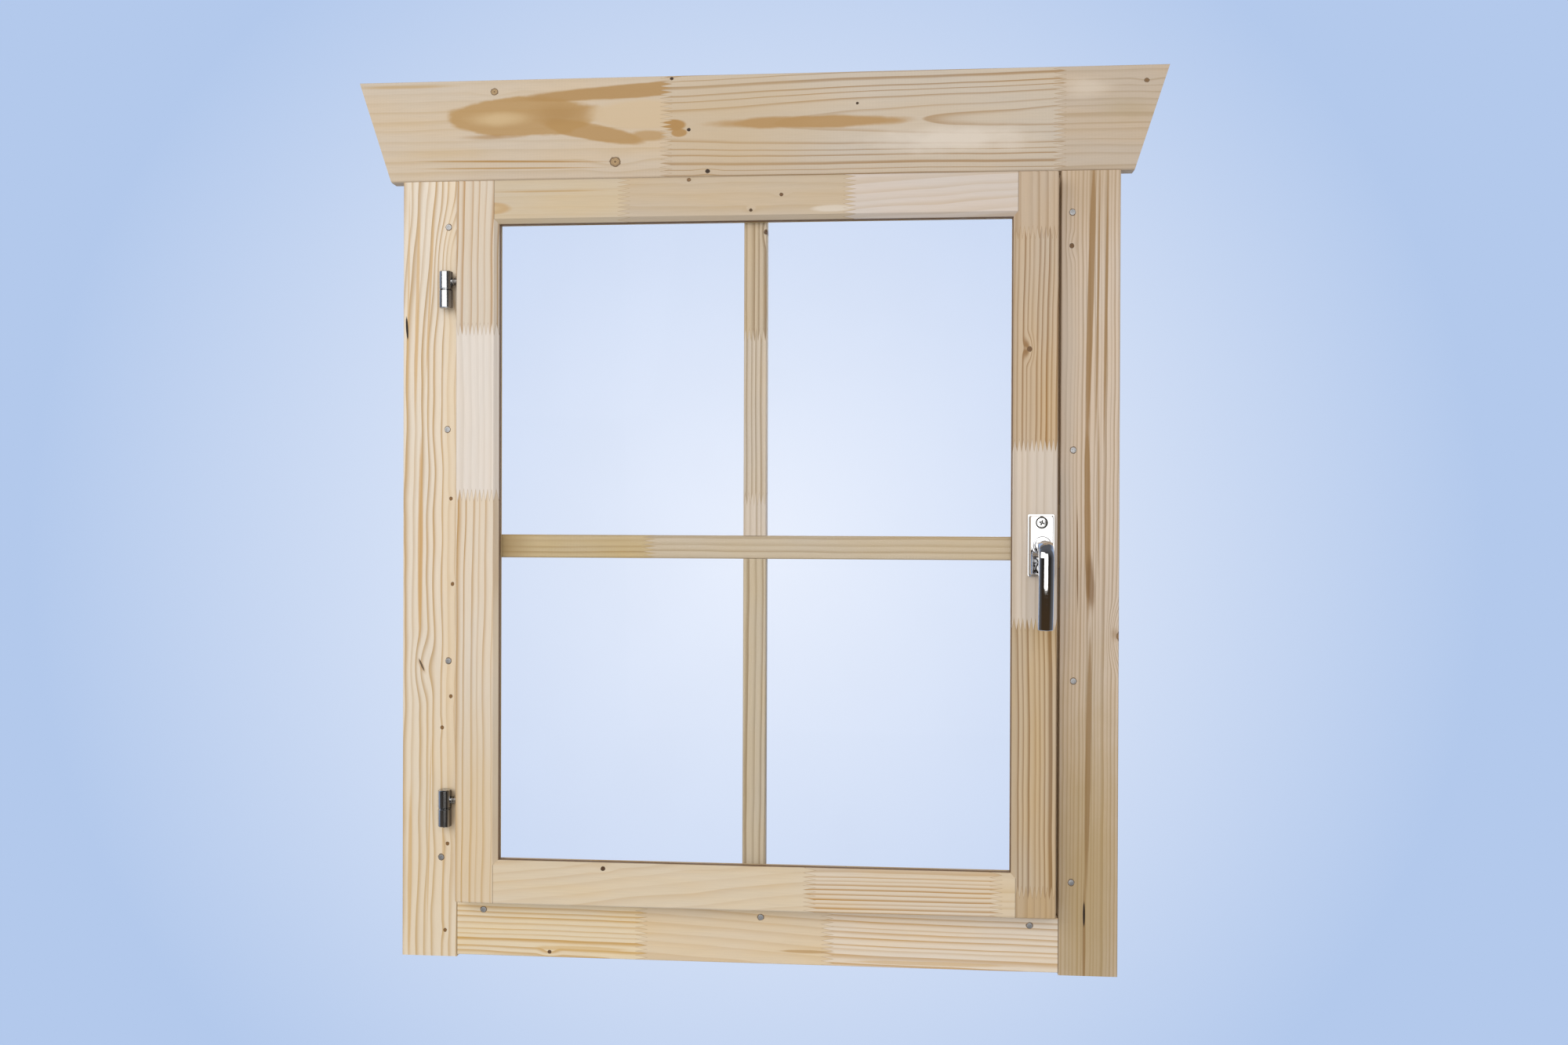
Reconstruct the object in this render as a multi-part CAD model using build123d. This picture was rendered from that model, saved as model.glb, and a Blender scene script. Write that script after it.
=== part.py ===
from build123d import *
import os

# Side-hung casement window for a thin timber wall, in millimetres.
# +Z up, the room-facing front with hinges and handle looks along -Y, +X to the right.
# The origin is the middle of the sill jamb's underside, where the window sits in the wall.

os.makedirs("parts", exist_ok=True)

# Sash: its size drives the frame around it
SASH_HALF = 285.0
SASH_H = 693.0
SASH_T = 30.5
SASH_GAP = 5.0
SASH_FACE = 37.0
SASH_CHAMFER = 4.0
SASH_EASE = 2.0
GLASS_DEPTH = 8.0
GLASS_T = 4.0
REBATE = 8.0
SEAL_W = 0.8
SEAL_DEPTH = 1.6
BEAD_PROUD = 0.8
BEAD_SLOPE = 6.5

# Wall and frame depth
WALL_T = 28.0
BOARD_T = 14.0
JAMB_FRONT_Y = -WALL_T / 2
JAMB_BACK_Y = WALL_T / 2
BOARD_FRONT_Y = JAMB_FRONT_Y - BOARD_T
REAR_BOARD_Y = JAMB_BACK_Y + BOARD_T
SASH_BACK_Y = JAMB_FRONT_Y - SASH_GAP
SASH_FRONT_Y = SASH_BACK_Y - SASH_T

# Jambs: their inner edges lap behind the sash as its stop
JAMB_FACE = 40.0
STOP_LAP = 13.0
JAMB_IN = SASH_HALF - STOP_LAP
JAMB_OUT = JAMB_IN + JAMB_FACE
SASH_Z0 = JAMB_FACE - STOP_LAP
SASH_Z1 = SASH_Z0 + SASH_H
SASH_MID_Z = (SASH_Z0 + SASH_Z1) / 2
JAMB_TOP_Z = SASH_Z1 - STOP_LAP + JAMB_FACE

# Front casing boards
BOARD_W = 55.0
BOARD_IN = SASH_HALF + SASH_GAP
BOARD_OUT = BOARD_IN + BOARD_W
BOTTOM_BOARD_H = 52.0
BOTTOM_BOARD_Z1 = SASH_Z0 - SASH_GAP
BOTTOM_BOARD_Z0 = BOTTOM_BOARD_Z1 - BOTTOM_BOARD_H
SIDE_BOARD_DROP = 2.0
SIDE_BOARD_Z0 = BOTTOM_BOARD_Z0 - SIDE_BOARD_DROP
HEADER_H = 98.0
HEADER_OVERHANG = 12.5
HEADER_SPLAY = 32.0
HEADER_Z0 = SASH_Z1 + SASH_GAP
HEADER_Z1 = HEADER_Z0 + HEADER_H
HEADER_HALF_LOW = BOARD_OUT + HEADER_OVERHANG
HEADER_HALF_TOP = HEADER_HALF_LOW + HEADER_SPLAY
BOARD_EASE = 1.2
HEADER_EASE = 2.5

# Rear casing boards
REAR_REVEAL = 5.0
REAR_IN = JAMB_IN + REAR_REVEAL
REAR_W = BOARD_OUT - REAR_IN
REAR_TOP_Z0 = JAMB_TOP_Z - JAMB_FACE + REAR_REVEAL
REAR_TOP_Z1 = REAR_TOP_Z0 + REAR_W
REAR_BOTTOM_Z1 = JAMB_FACE - REAR_REVEAL

# Muntin bars
MUNTIN_W = 22.0
MUNTIN_T = 14.0
MUNTIN_X = 2.5
MUNTIN_DROP = 3.5
MUNTIN_Z = SASH_MID_Z - MUNTIN_DROP
MUNTIN_EASE = 1.0

# Drill-in hinges
HINGE_OUT = 14.4
HINGE_STAND = 8.0
HINGE_X = -SASH_HALF - HINGE_OUT
HINGE_Y = BOARD_FRONT_Y - HINGE_STAND
HINGE_R = 6.5
UPPER_HINGE_DOWN = 102.0
LOWER_HINGE_UP = 88.0
HINGE_SPLITS_Z = {"upper": SASH_Z1 - UPPER_HINGE_DOWN, "lower": SASH_Z0 + LOWER_HINGE_UP}
KNUCKLE_H = 17.6
KNUCKLE_GAP = 0.6
KNUCKLE_EASE = 0.8
PIVOT_R = 3.0
PIVOT_CLEARANCE = 0.06
PIVOT_H = 13.0
PIVOT_END_GAP = 0.5
SCREW_PIN_R = 3.5
SASH_PIN_Z = 7.5
SASH_PIN_DEEP = 22.0
FRAME_PIN_Z = 9.0
FRAME_PIN_DEEP = 16.0

# Handle
HANDLE_INSET = 15.5
HANDLE_X = SASH_HALF - HANDLE_INSET
HANDLE_Z = SASH_MID_Z
ROSETTE_W = 24.0
ROSETTE_H = 57.0
ROSETTE_BASE_T = 3.0
ROSETTE_RISE = 5.5
ROSETTE_EDGE = 0.8
ROSETTE_TOP_W = 19.5
ROSETTE_TOP_H = 53.0
ROSETTE_CORNER = 1.2
COLLAR_R = 8.6
COLLAR_H = 6.0
COLLAR_EASE = 1.0
ROSETTE_SCREW_DZ = 21.0
ROSETTE_RECESS_R = 5.6
ROSETTE_RECESS_T = 2.4
NECK_R = 5.4
NECK_CLEARANCE = 0.06
NECK_END_GAP = 0.5
LEVER_W = 13.4
LEVER_T = 9.0
LEVER_END_T = 7.6
LEVER_STAND = 44.0
LEVER_BEND_R = 12.0
LEVER_DROP = 75.2
LEVER_LEAN = 5.0
LEVER_EASE = 0.8
LEVER_ROOT_T = 11.0
LEVER_CROWN = 2.6
LEVER_BACK_CORNER = 2.2
LEVER_CROWN_CORNER = 1.6
NECK_REACH = 2.0

# Latch gear
LATCH_W = 16.0
LATCH_H = 120.0
LATCH_T = 1.5
LATCH_UP = 8.5
LATCH_Z = SASH_MID_Z + LATCH_UP
LATCH_Y = (SASH_FRONT_Y + SASH_BACK_Y) / 2
STRIKE_W = 10.0
STRIKE_H = 60.0
STRIKE_T = 1.5

# How far a cutting body reaches past what it cuts, how far a mitre cut reaches inwards,
# and how near a depth an edge lies to count as being there
OVER = 1.0
MITRE_REACH = 20.0
DEPTH_TOLERANCE = 0.01


def block(x0, x1, y0, y1, z0, z1):
    """Axis-aligned box between two corners."""
    middle = Pos((x0 + x1) / 2, (y0 + y1) / 2, (z0 + z1) / 2)
    return middle * Box(x1 - x0, y1 - y0, z1 - z0)


def prism_y(points, y0, y1):
    """Prism along Y over a closed (x, z) outline."""
    outline = Polyline(*[(x, y0, z) for x, z in points], close=True)
    return extrude(make_face(outline), amount=y1 - y0, dir=(0, 1, 0))


def rod(start, direction, radius, length):
    """Round rod from a point along a direction."""
    return Plane(origin=start, z_dir=direction) * Cylinder(
        radius, length, align=(Align.CENTER, Align.CENTER, Align.MIN)
    )


def edges_at_y(solid, y, axis):
    """Edges lying at one depth and running along an axis."""
    flat = solid.edges().filter_by_position(Axis.Y, y - DEPTH_TOLERANCE, y + DEPTH_TOLERANCE)
    return flat.filter_by(axis)


def save(solid, name):
    """Write one sub-part, named by its node."""
    solid.label = name
    export_step(solid, f"parts/{name}.step")


# Jambs: two full-height sides with the sill and the head let in between them.
left_jamb = block(-JAMB_OUT, -JAMB_IN, JAMB_FRONT_Y, JAMB_BACK_Y, 0, JAMB_TOP_Z)
right_jamb = block(JAMB_IN, JAMB_OUT, JAMB_FRONT_Y, JAMB_BACK_Y, 0, JAMB_TOP_Z)
sill_jamb = block(-JAMB_IN, JAMB_IN, JAMB_FRONT_Y, JAMB_BACK_Y, 0, JAMB_FACE)
head_jamb = block(-JAMB_IN, JAMB_IN, JAMB_FRONT_Y, JAMB_BACK_Y, JAMB_TOP_Z - JAMB_FACE, JAMB_TOP_Z)

# Front casing: side boards under a header with inward sloping ends, a bottom board between.
left_casing = block(-BOARD_OUT, -BOARD_IN, BOARD_FRONT_Y, JAMB_FRONT_Y, SIDE_BOARD_Z0, HEADER_Z0)
right_casing = block(BOARD_IN, BOARD_OUT, BOARD_FRONT_Y, JAMB_FRONT_Y, SIDE_BOARD_Z0, HEADER_Z0)
bottom_casing = block(
    -BOARD_IN, BOARD_IN, BOARD_FRONT_Y, JAMB_FRONT_Y, BOTTOM_BOARD_Z0, BOTTOM_BOARD_Z1
)
header_outline = [
    (-HEADER_HALF_LOW, HEADER_Z0),
    (HEADER_HALF_LOW, HEADER_Z0),
    (HEADER_HALF_TOP, HEADER_Z1),
    (-HEADER_HALF_TOP, HEADER_Z1),
]
header_board = prism_y(header_outline, BOARD_FRONT_Y, JAMB_FRONT_Y)
left_casing = fillet(edges_at_y(left_casing, BOARD_FRONT_Y, Axis.Z), BOARD_EASE)
right_casing = fillet(edges_at_y(right_casing, BOARD_FRONT_Y, Axis.Z), BOARD_EASE)
bottom_casing = fillet(edges_at_y(bottom_casing, BOARD_FRONT_Y, Axis.X), BOARD_EASE)
header_long = edges_at_y(header_board, BOARD_FRONT_Y, Axis.X).sort_by(Axis.Z)
header_board = fillet(header_long[0], HEADER_EASE)
header_long = edges_at_y(header_board, BOARD_FRONT_Y, Axis.X).sort_by(Axis.Z)
header_board = fillet(header_long[-1], BOARD_EASE)

# Rear casing: plain boards that clamp the wall from the other side.
rear_left_casing = block(-BOARD_OUT, -REAR_IN, JAMB_BACK_Y, REAR_BOARD_Y, SIDE_BOARD_Z0, REAR_TOP_Z0)
rear_right_casing = block(REAR_IN, BOARD_OUT, JAMB_BACK_Y, REAR_BOARD_Y, SIDE_BOARD_Z0, REAR_TOP_Z0)
rear_top_casing = block(-BOARD_OUT, BOARD_OUT, JAMB_BACK_Y, REAR_BOARD_Y, REAR_TOP_Z0, REAR_TOP_Z1)
rear_bottom_casing = block(-REAR_IN, REAR_IN, JAMB_BACK_Y, REAR_BOARD_Y, BOTTOM_BOARD_Z0, REAR_BOTTOM_Z1)
rear_left_casing = fillet(edges_at_y(rear_left_casing, REAR_BOARD_Y, Axis.Z), BOARD_EASE)
rear_right_casing = fillet(edges_at_y(rear_right_casing, REAR_BOARD_Y, Axis.Z), BOARD_EASE)
rear_top_casing = fillet(edges_at_y(rear_top_casing, REAR_BOARD_Y, Axis.X), BOARD_EASE)
rear_bottom_casing = fillet(edges_at_y(rear_bottom_casing, REAR_BOARD_Y, Axis.X), BOARD_EASE)

# Sash: one profiled ring with a chamfered lip and a rear rebate, then cut into stiles and rails.
face_x = SASH_HALF - SASH_FACE
face_z0 = SASH_Z0 + SASH_FACE
face_z1 = SASH_Z1 - SASH_FACE
lip_x = face_x - SASH_CHAMFER
lip_z0 = face_z0 + SASH_CHAMFER
lip_z1 = face_z1 - SASH_CHAMFER
glass_front_y = SASH_FRONT_Y + GLASS_DEPTH
glass_back_y = glass_front_y + GLASS_T
rebate_x = lip_x + REBATE
rebate_z0 = lip_z0 - REBATE
rebate_z1 = lip_z1 + REBATE

sash_ring = block(-SASH_HALF, SASH_HALF, SASH_FRONT_Y, SASH_BACK_Y, SASH_Z0, SASH_Z1)
for axis in (Axis.X, Axis.Z):
    sash_ring = fillet(edges_at_y(sash_ring, SASH_FRONT_Y, axis), SASH_EASE)
cut_y0 = SASH_FRONT_Y - OVER
cut_y1 = SASH_BACK_Y + OVER
sash_ring -= block(-lip_x, lip_x, cut_y0, cut_y1, lip_z0, lip_z1)
mouth = Plane(origin=(0, SASH_FRONT_Y, (face_z0 + face_z1) / 2), x_dir=(1, 0, 0), z_dir=(0, -1, 0))
mouth_face = mouth * Rectangle(2 * face_x, face_z1 - face_z0)
throat = mouth.offset(-SASH_CHAMFER)
throat_face = throat * Rectangle(2 * lip_x, lip_z1 - lip_z0)
sash_ring -= loft([mouth_face, throat_face])
sash_ring -= block(-rebate_x, rebate_x, glass_front_y, cut_y1, rebate_z0, rebate_z1)

# The stiles run right through; each lip is mitred at the corners.
stile_outline = [
    (SASH_HALF, SASH_Z0),
    (SASH_HALF, SASH_Z1),
    (face_x, SASH_Z1),
    (face_x, face_z1),
    (face_x - MITRE_REACH, face_z1 - MITRE_REACH),
    (face_x - MITRE_REACH, face_z0 + MITRE_REACH),
    (face_x, face_z0),
    (face_x, SASH_Z0),
]
top_outline = [
    (-face_x, SASH_Z1),
    (face_x, SASH_Z1),
    (face_x, face_z1),
    (face_x - MITRE_REACH, face_z1 - MITRE_REACH),
    (-face_x + MITRE_REACH, face_z1 - MITRE_REACH),
    (-face_x, face_z1),
]
bottom_outline = [
    (-face_x, SASH_Z0),
    (face_x, SASH_Z0),
    (face_x, face_z0),
    (face_x - MITRE_REACH, face_z0 + MITRE_REACH),
    (-face_x + MITRE_REACH, face_z0 + MITRE_REACH),
    (-face_x, face_z0),
]
mirror_outline = [(-x, z) for x, z in stile_outline]
right_stile = sash_ring & prism_y(stile_outline, cut_y0, cut_y1)
left_stile = sash_ring & prism_y(mirror_outline, cut_y0, cut_y1)
top_rail = sash_ring & prism_y(top_outline, cut_y0, cut_y1)
bottom_rail = sash_ring & prism_y(bottom_outline, cut_y0, cut_y1)

# Glass pane against the lip, a thin sealant line in front, mitred beads behind.
glass_pane = block(-rebate_x, rebate_x, glass_front_y, glass_back_y, rebate_z0, rebate_z1)
seal_y0 = glass_front_y - SEAL_DEPTH
glazing_seal = block(-lip_x, lip_x, seal_y0, glass_front_y, lip_z0, lip_z1)
glazing_seal -= block(
    -lip_x + SEAL_W,
    lip_x - SEAL_W,
    seal_y0 - OVER,
    glass_front_y + OVER,
    lip_z0 + SEAL_W,
    lip_z1 - SEAL_W,
)

# The beads are one ring, thinning from the glass to the back, mitred into four.
bead_x = lip_x - BEAD_PROUD
bead_z0 = lip_z0 + BEAD_PROUD
bead_z1 = lip_z1 - BEAD_PROUD
sight = Plane(origin=(0, glass_back_y, (bead_z0 + bead_z1) / 2), x_dir=(1, 0, 0), z_dir=(0, 1, 0))
sight_face = sight * Rectangle(2 * bead_x, bead_z1 - bead_z0)
outlet = sight.offset(SASH_BACK_Y - glass_back_y)
outlet_face = outlet * Rectangle(2 * (bead_x + BEAD_SLOPE), bead_z1 - bead_z0 + 2 * BEAD_SLOPE)
bead_ring = block(-rebate_x, rebate_x, glass_back_y, SASH_BACK_Y, rebate_z0, rebate_z1)
bead_ring -= loft([sight_face, outlet_face])
upright_outline = [
    (rebate_x, rebate_z0),
    (rebate_x, rebate_z1),
    (rebate_x - MITRE_REACH, rebate_z1 - MITRE_REACH),
    (rebate_x - MITRE_REACH, rebate_z0 + MITRE_REACH),
]
level_outline = [
    (-rebate_x, rebate_z1),
    (rebate_x, rebate_z1),
    (rebate_x - MITRE_REACH, rebate_z1 - MITRE_REACH),
    (-rebate_x + MITRE_REACH, rebate_z1 - MITRE_REACH),
]
flipped_outline = [(x, rebate_z0 + rebate_z1 - z) for x, z in level_outline]
bead_right = bead_ring & prism_y(upright_outline, cut_y0, cut_y1)
bead_left = bead_ring & prism_y([(-x, z) for x, z in upright_outline], cut_y0, cut_y1)
bead_top = bead_ring & prism_y(level_outline, cut_y0, cut_y1)
bead_bottom = bead_ring & prism_y(flipped_outline, cut_y0, cut_y1)

# Muntin cross behind the glass: one through bar and two butting pieces, scribed to the beads.
muntin_back_y = glass_back_y + MUNTIN_T
bar_z0 = MUNTIN_Z - MUNTIN_W / 2
bar_z1 = MUNTIN_Z + MUNTIN_W / 2
bar_x0 = MUNTIN_X - MUNTIN_W / 2
bar_x1 = MUNTIN_X + MUNTIN_W / 2
horizontal_muntin = block(-rebate_x, rebate_x, glass_back_y, muntin_back_y, bar_z0, bar_z1)
vertical_muntin_upper = block(bar_x0, bar_x1, glass_back_y, muntin_back_y, bar_z1, rebate_z1)
vertical_muntin_lower = block(bar_x0, bar_x1, glass_back_y, muntin_back_y, rebate_z0, bar_z0)
for depth in (glass_back_y, muntin_back_y):
    horizontal_muntin = chamfer(edges_at_y(horizontal_muntin, depth, Axis.X), MUNTIN_EASE)
    vertical_muntin_upper = chamfer(edges_at_y(vertical_muntin_upper, depth, Axis.Z), MUNTIN_EASE)
    vertical_muntin_lower = chamfer(edges_at_y(vertical_muntin_lower, depth, Axis.Z), MUNTIN_EASE)
horizontal_muntin -= bead_ring
vertical_muntin_upper -= bead_ring
vertical_muntin_lower -= bead_ring

# Hinges: the lower knuckle is screwed into the frame, the upper one into the sash edge.
hinge_frame = {}
hinge_sash = {}
for place, split_z in HINGE_SPLITS_Z.items():
    low_top = split_z - KNUCKLE_GAP / 2
    high_bottom = split_z + KNUCKLE_GAP / 2
    lower = rod((HINGE_X, HINGE_Y, low_top - KNUCKLE_H), (0, 0, 1), HINGE_R, KNUCKLE_H)
    lower = chamfer(lower.edges().filter_by(GeomType.CIRCLE), KNUCKLE_EASE)
    lower += rod((HINGE_X, HINGE_Y, low_top - OVER), (0, 0, 1), PIVOT_R, PIVOT_H + OVER)
    frame_pin_z = low_top - FRAME_PIN_Z
    frame_pin_len = JAMB_FRONT_Y + FRAME_PIN_DEEP - HINGE_Y
    frame_pin = rod((HINGE_X, HINGE_Y, frame_pin_z), (0, 1, 0), SCREW_PIN_R, frame_pin_len)
    hinge_frame[place] = lower + frame_pin
    left_casing -= frame_pin
    left_jamb -= frame_pin
    upper = rod((HINGE_X, HINGE_Y, high_bottom), (0, 0, 1), HINGE_R, KNUCKLE_H)
    upper = chamfer(upper.edges().filter_by(GeomType.CIRCLE), KNUCKLE_EASE)
    sash_pin_z = high_bottom + SASH_PIN_Z
    sash_pin_len = -SASH_HALF + SASH_PIN_DEEP - HINGE_X
    sash_pin = rod((HINGE_X, HINGE_Y, sash_pin_z), (1, 0, 0), SCREW_PIN_R, sash_pin_len)
    upper += sash_pin
    socket_h = PIVOT_H + PIVOT_END_GAP
    socket_r = PIVOT_R + PIVOT_CLEARANCE
    upper -= rod((HINGE_X, HINGE_Y, high_bottom - OVER), (0, 0, 1), socket_r, socket_h + OVER)
    hinge_sash[place] = upper
    left_stile -= sash_pin

# Handle rosette: bevelled plate with two screw recesses and a round collar.
base_front_y = SASH_FRONT_Y - ROSETTE_BASE_T
top_front_y = base_front_y - ROSETTE_RISE
base_plane = Plane(origin=(HANDLE_X, base_front_y, HANDLE_Z), x_dir=(1, 0, 0), z_dir=(0, -1, 0))
top_plane = base_plane.offset(ROSETTE_RISE)
rosette_base = block(
    HANDLE_X - ROSETTE_W / 2,
    HANDLE_X + ROSETTE_W / 2,
    base_front_y,
    SASH_FRONT_Y,
    HANDLE_Z - ROSETTE_H / 2,
    HANDLE_Z + ROSETTE_H / 2,
)
rosette_base = fillet(rosette_base.edges().filter_by(Axis.Y), ROSETTE_CORNER)
low_w = ROSETTE_W - 2 * ROSETTE_EDGE
low_h = ROSETTE_H - 2 * ROSETTE_EDGE
rosette_low = base_plane * RectangleRounded(low_w, low_h, ROSETTE_CORNER)
rosette_high = top_plane * RectangleRounded(ROSETTE_TOP_W, ROSETTE_TOP_H, ROSETTE_CORNER)
handle_rosette = rosette_base + loft([rosette_low, rosette_high])
collar = rod((HANDLE_X, top_front_y + OVER, HANDLE_Z), (0, -1, 0), COLLAR_R, COLLAR_H + OVER)
collar_rim = collar.edges().filter_by(GeomType.CIRCLE).sort_by(Axis.Y)[0]
handle_rosette += fillet(collar_rim, COLLAR_EASE)
for side in (-1, 1):
    recess_start = (HANDLE_X, top_front_y - OVER, HANDLE_Z + side * ROSETTE_SCREW_DZ)
    handle_rosette -= rod(recess_start, (0, 1, 0), ROSETTE_RECESS_R, ROSETTE_RECESS_T + OVER)
neck_hole = rod((HANDLE_X, SASH_FRONT_Y + OVER, HANDLE_Z), (0, -1, 0), NECK_R + NECK_CLEARANCE, LEVER_STAND)
handle_rosette -= neck_hole

# Handle lever: a round neck turning in the collar, then a curved grip that thins towards its end.
grip_y = SASH_FRONT_Y - LEVER_STAND
neck_start_y = SASH_FRONT_Y - NECK_END_GAP
bend_y = grip_y + LEVER_BEND_R
neck = rod((HANDLE_X, neck_start_y, HANDLE_Z), (0, -1, 0), NECK_R, neck_start_y - bend_y + NECK_REACH)
bend = TangentArc(
    [(HANDLE_X, bend_y, HANDLE_Z), (HANDLE_X, grip_y, HANDLE_Z - LEVER_BEND_R)],
    tangent=(0, -1, 0),
)
grip_end = (HANDLE_X, grip_y + LEVER_LEAN, HANDLE_Z - LEVER_DROP)
grip = TangentArc([bend @ 1, grip_end], tangent=bend % 1)


def across(curve, where, shape):
    """Place a flat shape square across a curve, its width along X."""
    return Plane(origin=curve @ where, x_dir=(1, 0, 0), z_dir=curve % where) * shape


def grip_profile(thick):
    """Grip section: flat back with eased corners and a crowned outer face."""
    half_w = LEVER_W / 2
    shoulder = thick / 2 - LEVER_CROWN
    sides = Polyline((half_w, shoulder), (half_w, -thick / 2), (-half_w, -thick / 2), (-half_w, shoulder))
    crown = ThreePointArc((-half_w, shoulder), (0, thick / 2), (half_w, shoulder))
    face = make_face(sides.edges() + crown.edges())
    corners = face.vertices().group_by(Axis.Y)
    face = fillet(corners[0], LEVER_BACK_CORNER)
    return fillet(face.vertices().group_by(Axis.Y)[-1], LEVER_CROWN_CORNER)


root_section = across(bend, 0, grip_profile(LEVER_ROOT_T))
bend_section = across(bend, 1, grip_profile(LEVER_T))
end_section = across(grip, 1, grip_profile(LEVER_END_T))
lever_path = Wire([bend, grip])
lever_bar = sweep([root_section, bend_section, end_section], path=lever_path, multisection=True)
lever_bar = fillet(lever_bar.edges().group_by(Axis.Z)[0], LEVER_EASE)
handle_lever = neck + lever_bar

# Latch gear: a faceplate let into the sash edge and a strike let into the casing edge.
latch_faceplate = block(
    SASH_HALF - LATCH_T,
    SASH_HALF,
    LATCH_Y - LATCH_W / 2,
    LATCH_Y + LATCH_W / 2,
    LATCH_Z - LATCH_H / 2,
    LATCH_Z + LATCH_H / 2,
)
strike_y = (BOARD_FRONT_Y + JAMB_FRONT_Y) / 2
strike_plate = block(
    BOARD_IN,
    BOARD_IN + STRIKE_T,
    strike_y - STRIKE_W / 2,
    strike_y + STRIKE_W / 2,
    LATCH_Z - STRIKE_H / 2,
    LATCH_Z + STRIKE_H / 2,
)
right_stile -= latch_faceplate
right_casing -= strike_plate

NODES = {
    "left_jamb": left_jamb,
    "right_jamb": right_jamb,
    "sill_jamb": sill_jamb,
    "head_jamb": head_jamb,
    "left_casing": left_casing,
    "right_casing": right_casing,
    "bottom_casing": bottom_casing,
    "header_board": header_board,
    "rear_left_casing": rear_left_casing,
    "rear_right_casing": rear_right_casing,
    "rear_top_casing": rear_top_casing,
    "rear_bottom_casing": rear_bottom_casing,
    "strike_plate": strike_plate,
    "upper_hinge_frame": hinge_frame["upper"],
    "lower_hinge_frame": hinge_frame["lower"],
    "left_stile": left_stile,
    "right_stile": right_stile,
    "top_rail": top_rail,
    "bottom_rail": bottom_rail,
    "glass_pane": glass_pane,
    "glazing_seal": glazing_seal,
    "bead_left": bead_left,
    "bead_right": bead_right,
    "bead_top": bead_top,
    "bead_bottom": bead_bottom,
    "horizontal_muntin": horizontal_muntin,
    "vertical_muntin_upper": vertical_muntin_upper,
    "vertical_muntin_lower": vertical_muntin_lower,
    "upper_hinge_sash": hinge_sash["upper"],
    "lower_hinge_sash": hinge_sash["lower"],
    "handle_rosette": handle_rosette,
    "latch_faceplate": latch_faceplate,
    "handle_lever": handle_lever,
}
for node, shape in NODES.items():
    save(shape, node)
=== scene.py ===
import logging
import math
from dataclasses import dataclass
from enum import Enum
from typing import Callable, Dict, List, Optional, Sequence, Tuple, Union

import bpy
from mathutils import Matrix, Vector


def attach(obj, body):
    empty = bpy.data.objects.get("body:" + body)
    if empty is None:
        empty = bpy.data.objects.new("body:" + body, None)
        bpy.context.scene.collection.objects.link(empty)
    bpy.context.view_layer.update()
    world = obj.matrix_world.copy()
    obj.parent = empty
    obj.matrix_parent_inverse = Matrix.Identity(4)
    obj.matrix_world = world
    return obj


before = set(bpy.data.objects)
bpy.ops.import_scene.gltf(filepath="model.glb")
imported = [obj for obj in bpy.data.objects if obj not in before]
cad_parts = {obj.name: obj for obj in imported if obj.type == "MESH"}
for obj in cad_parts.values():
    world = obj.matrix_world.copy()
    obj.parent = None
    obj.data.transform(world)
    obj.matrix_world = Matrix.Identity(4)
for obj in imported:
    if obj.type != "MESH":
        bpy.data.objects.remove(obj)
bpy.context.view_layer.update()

LOG = logging.getLogger("casement_window")
MM = 0.001
FACING_Y = (math.pi / 2, 0.0, 0.0)
FACING_X = (0.0, math.pi / 2, 0.0)

Socket = bpy.types.NodeSocket
Node = bpy.types.Node
Tree = bpy.types.NodeTree
Material = bpy.types.Material
Piece = bpy.types.Object
Value = Union[float, Socket]
Colour = Tuple[float, float, float, float]
Place = Tuple[float, float, float]
Spots = Tuple[Tuple[float, float], ...]


def tone(code: str) -> Colour:
    """Turn a six-digit sRGB code into a linear colour with an alpha of 1."""
    channels = [int(code[i : i + 2], 16) / 255 for i in (0, 2, 4)]
    linear = [c / 12.92 if c <= 0.04045 else ((c + 0.055) / 1.055) ** 2.4 for c in channels]
    return (linear[0], linear[1], linear[2], 1.0)


def dimmed(colour: Colour, share: float) -> Colour:
    """Scale a colour's channels and keep it opaque."""
    return (colour[0] * share, colour[1] * share, colour[2] * share, 1.0)


class Run(Enum):
    """Which way a piece's grain runs."""

    UPRIGHT = "upright"
    LEVEL = "level"


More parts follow.
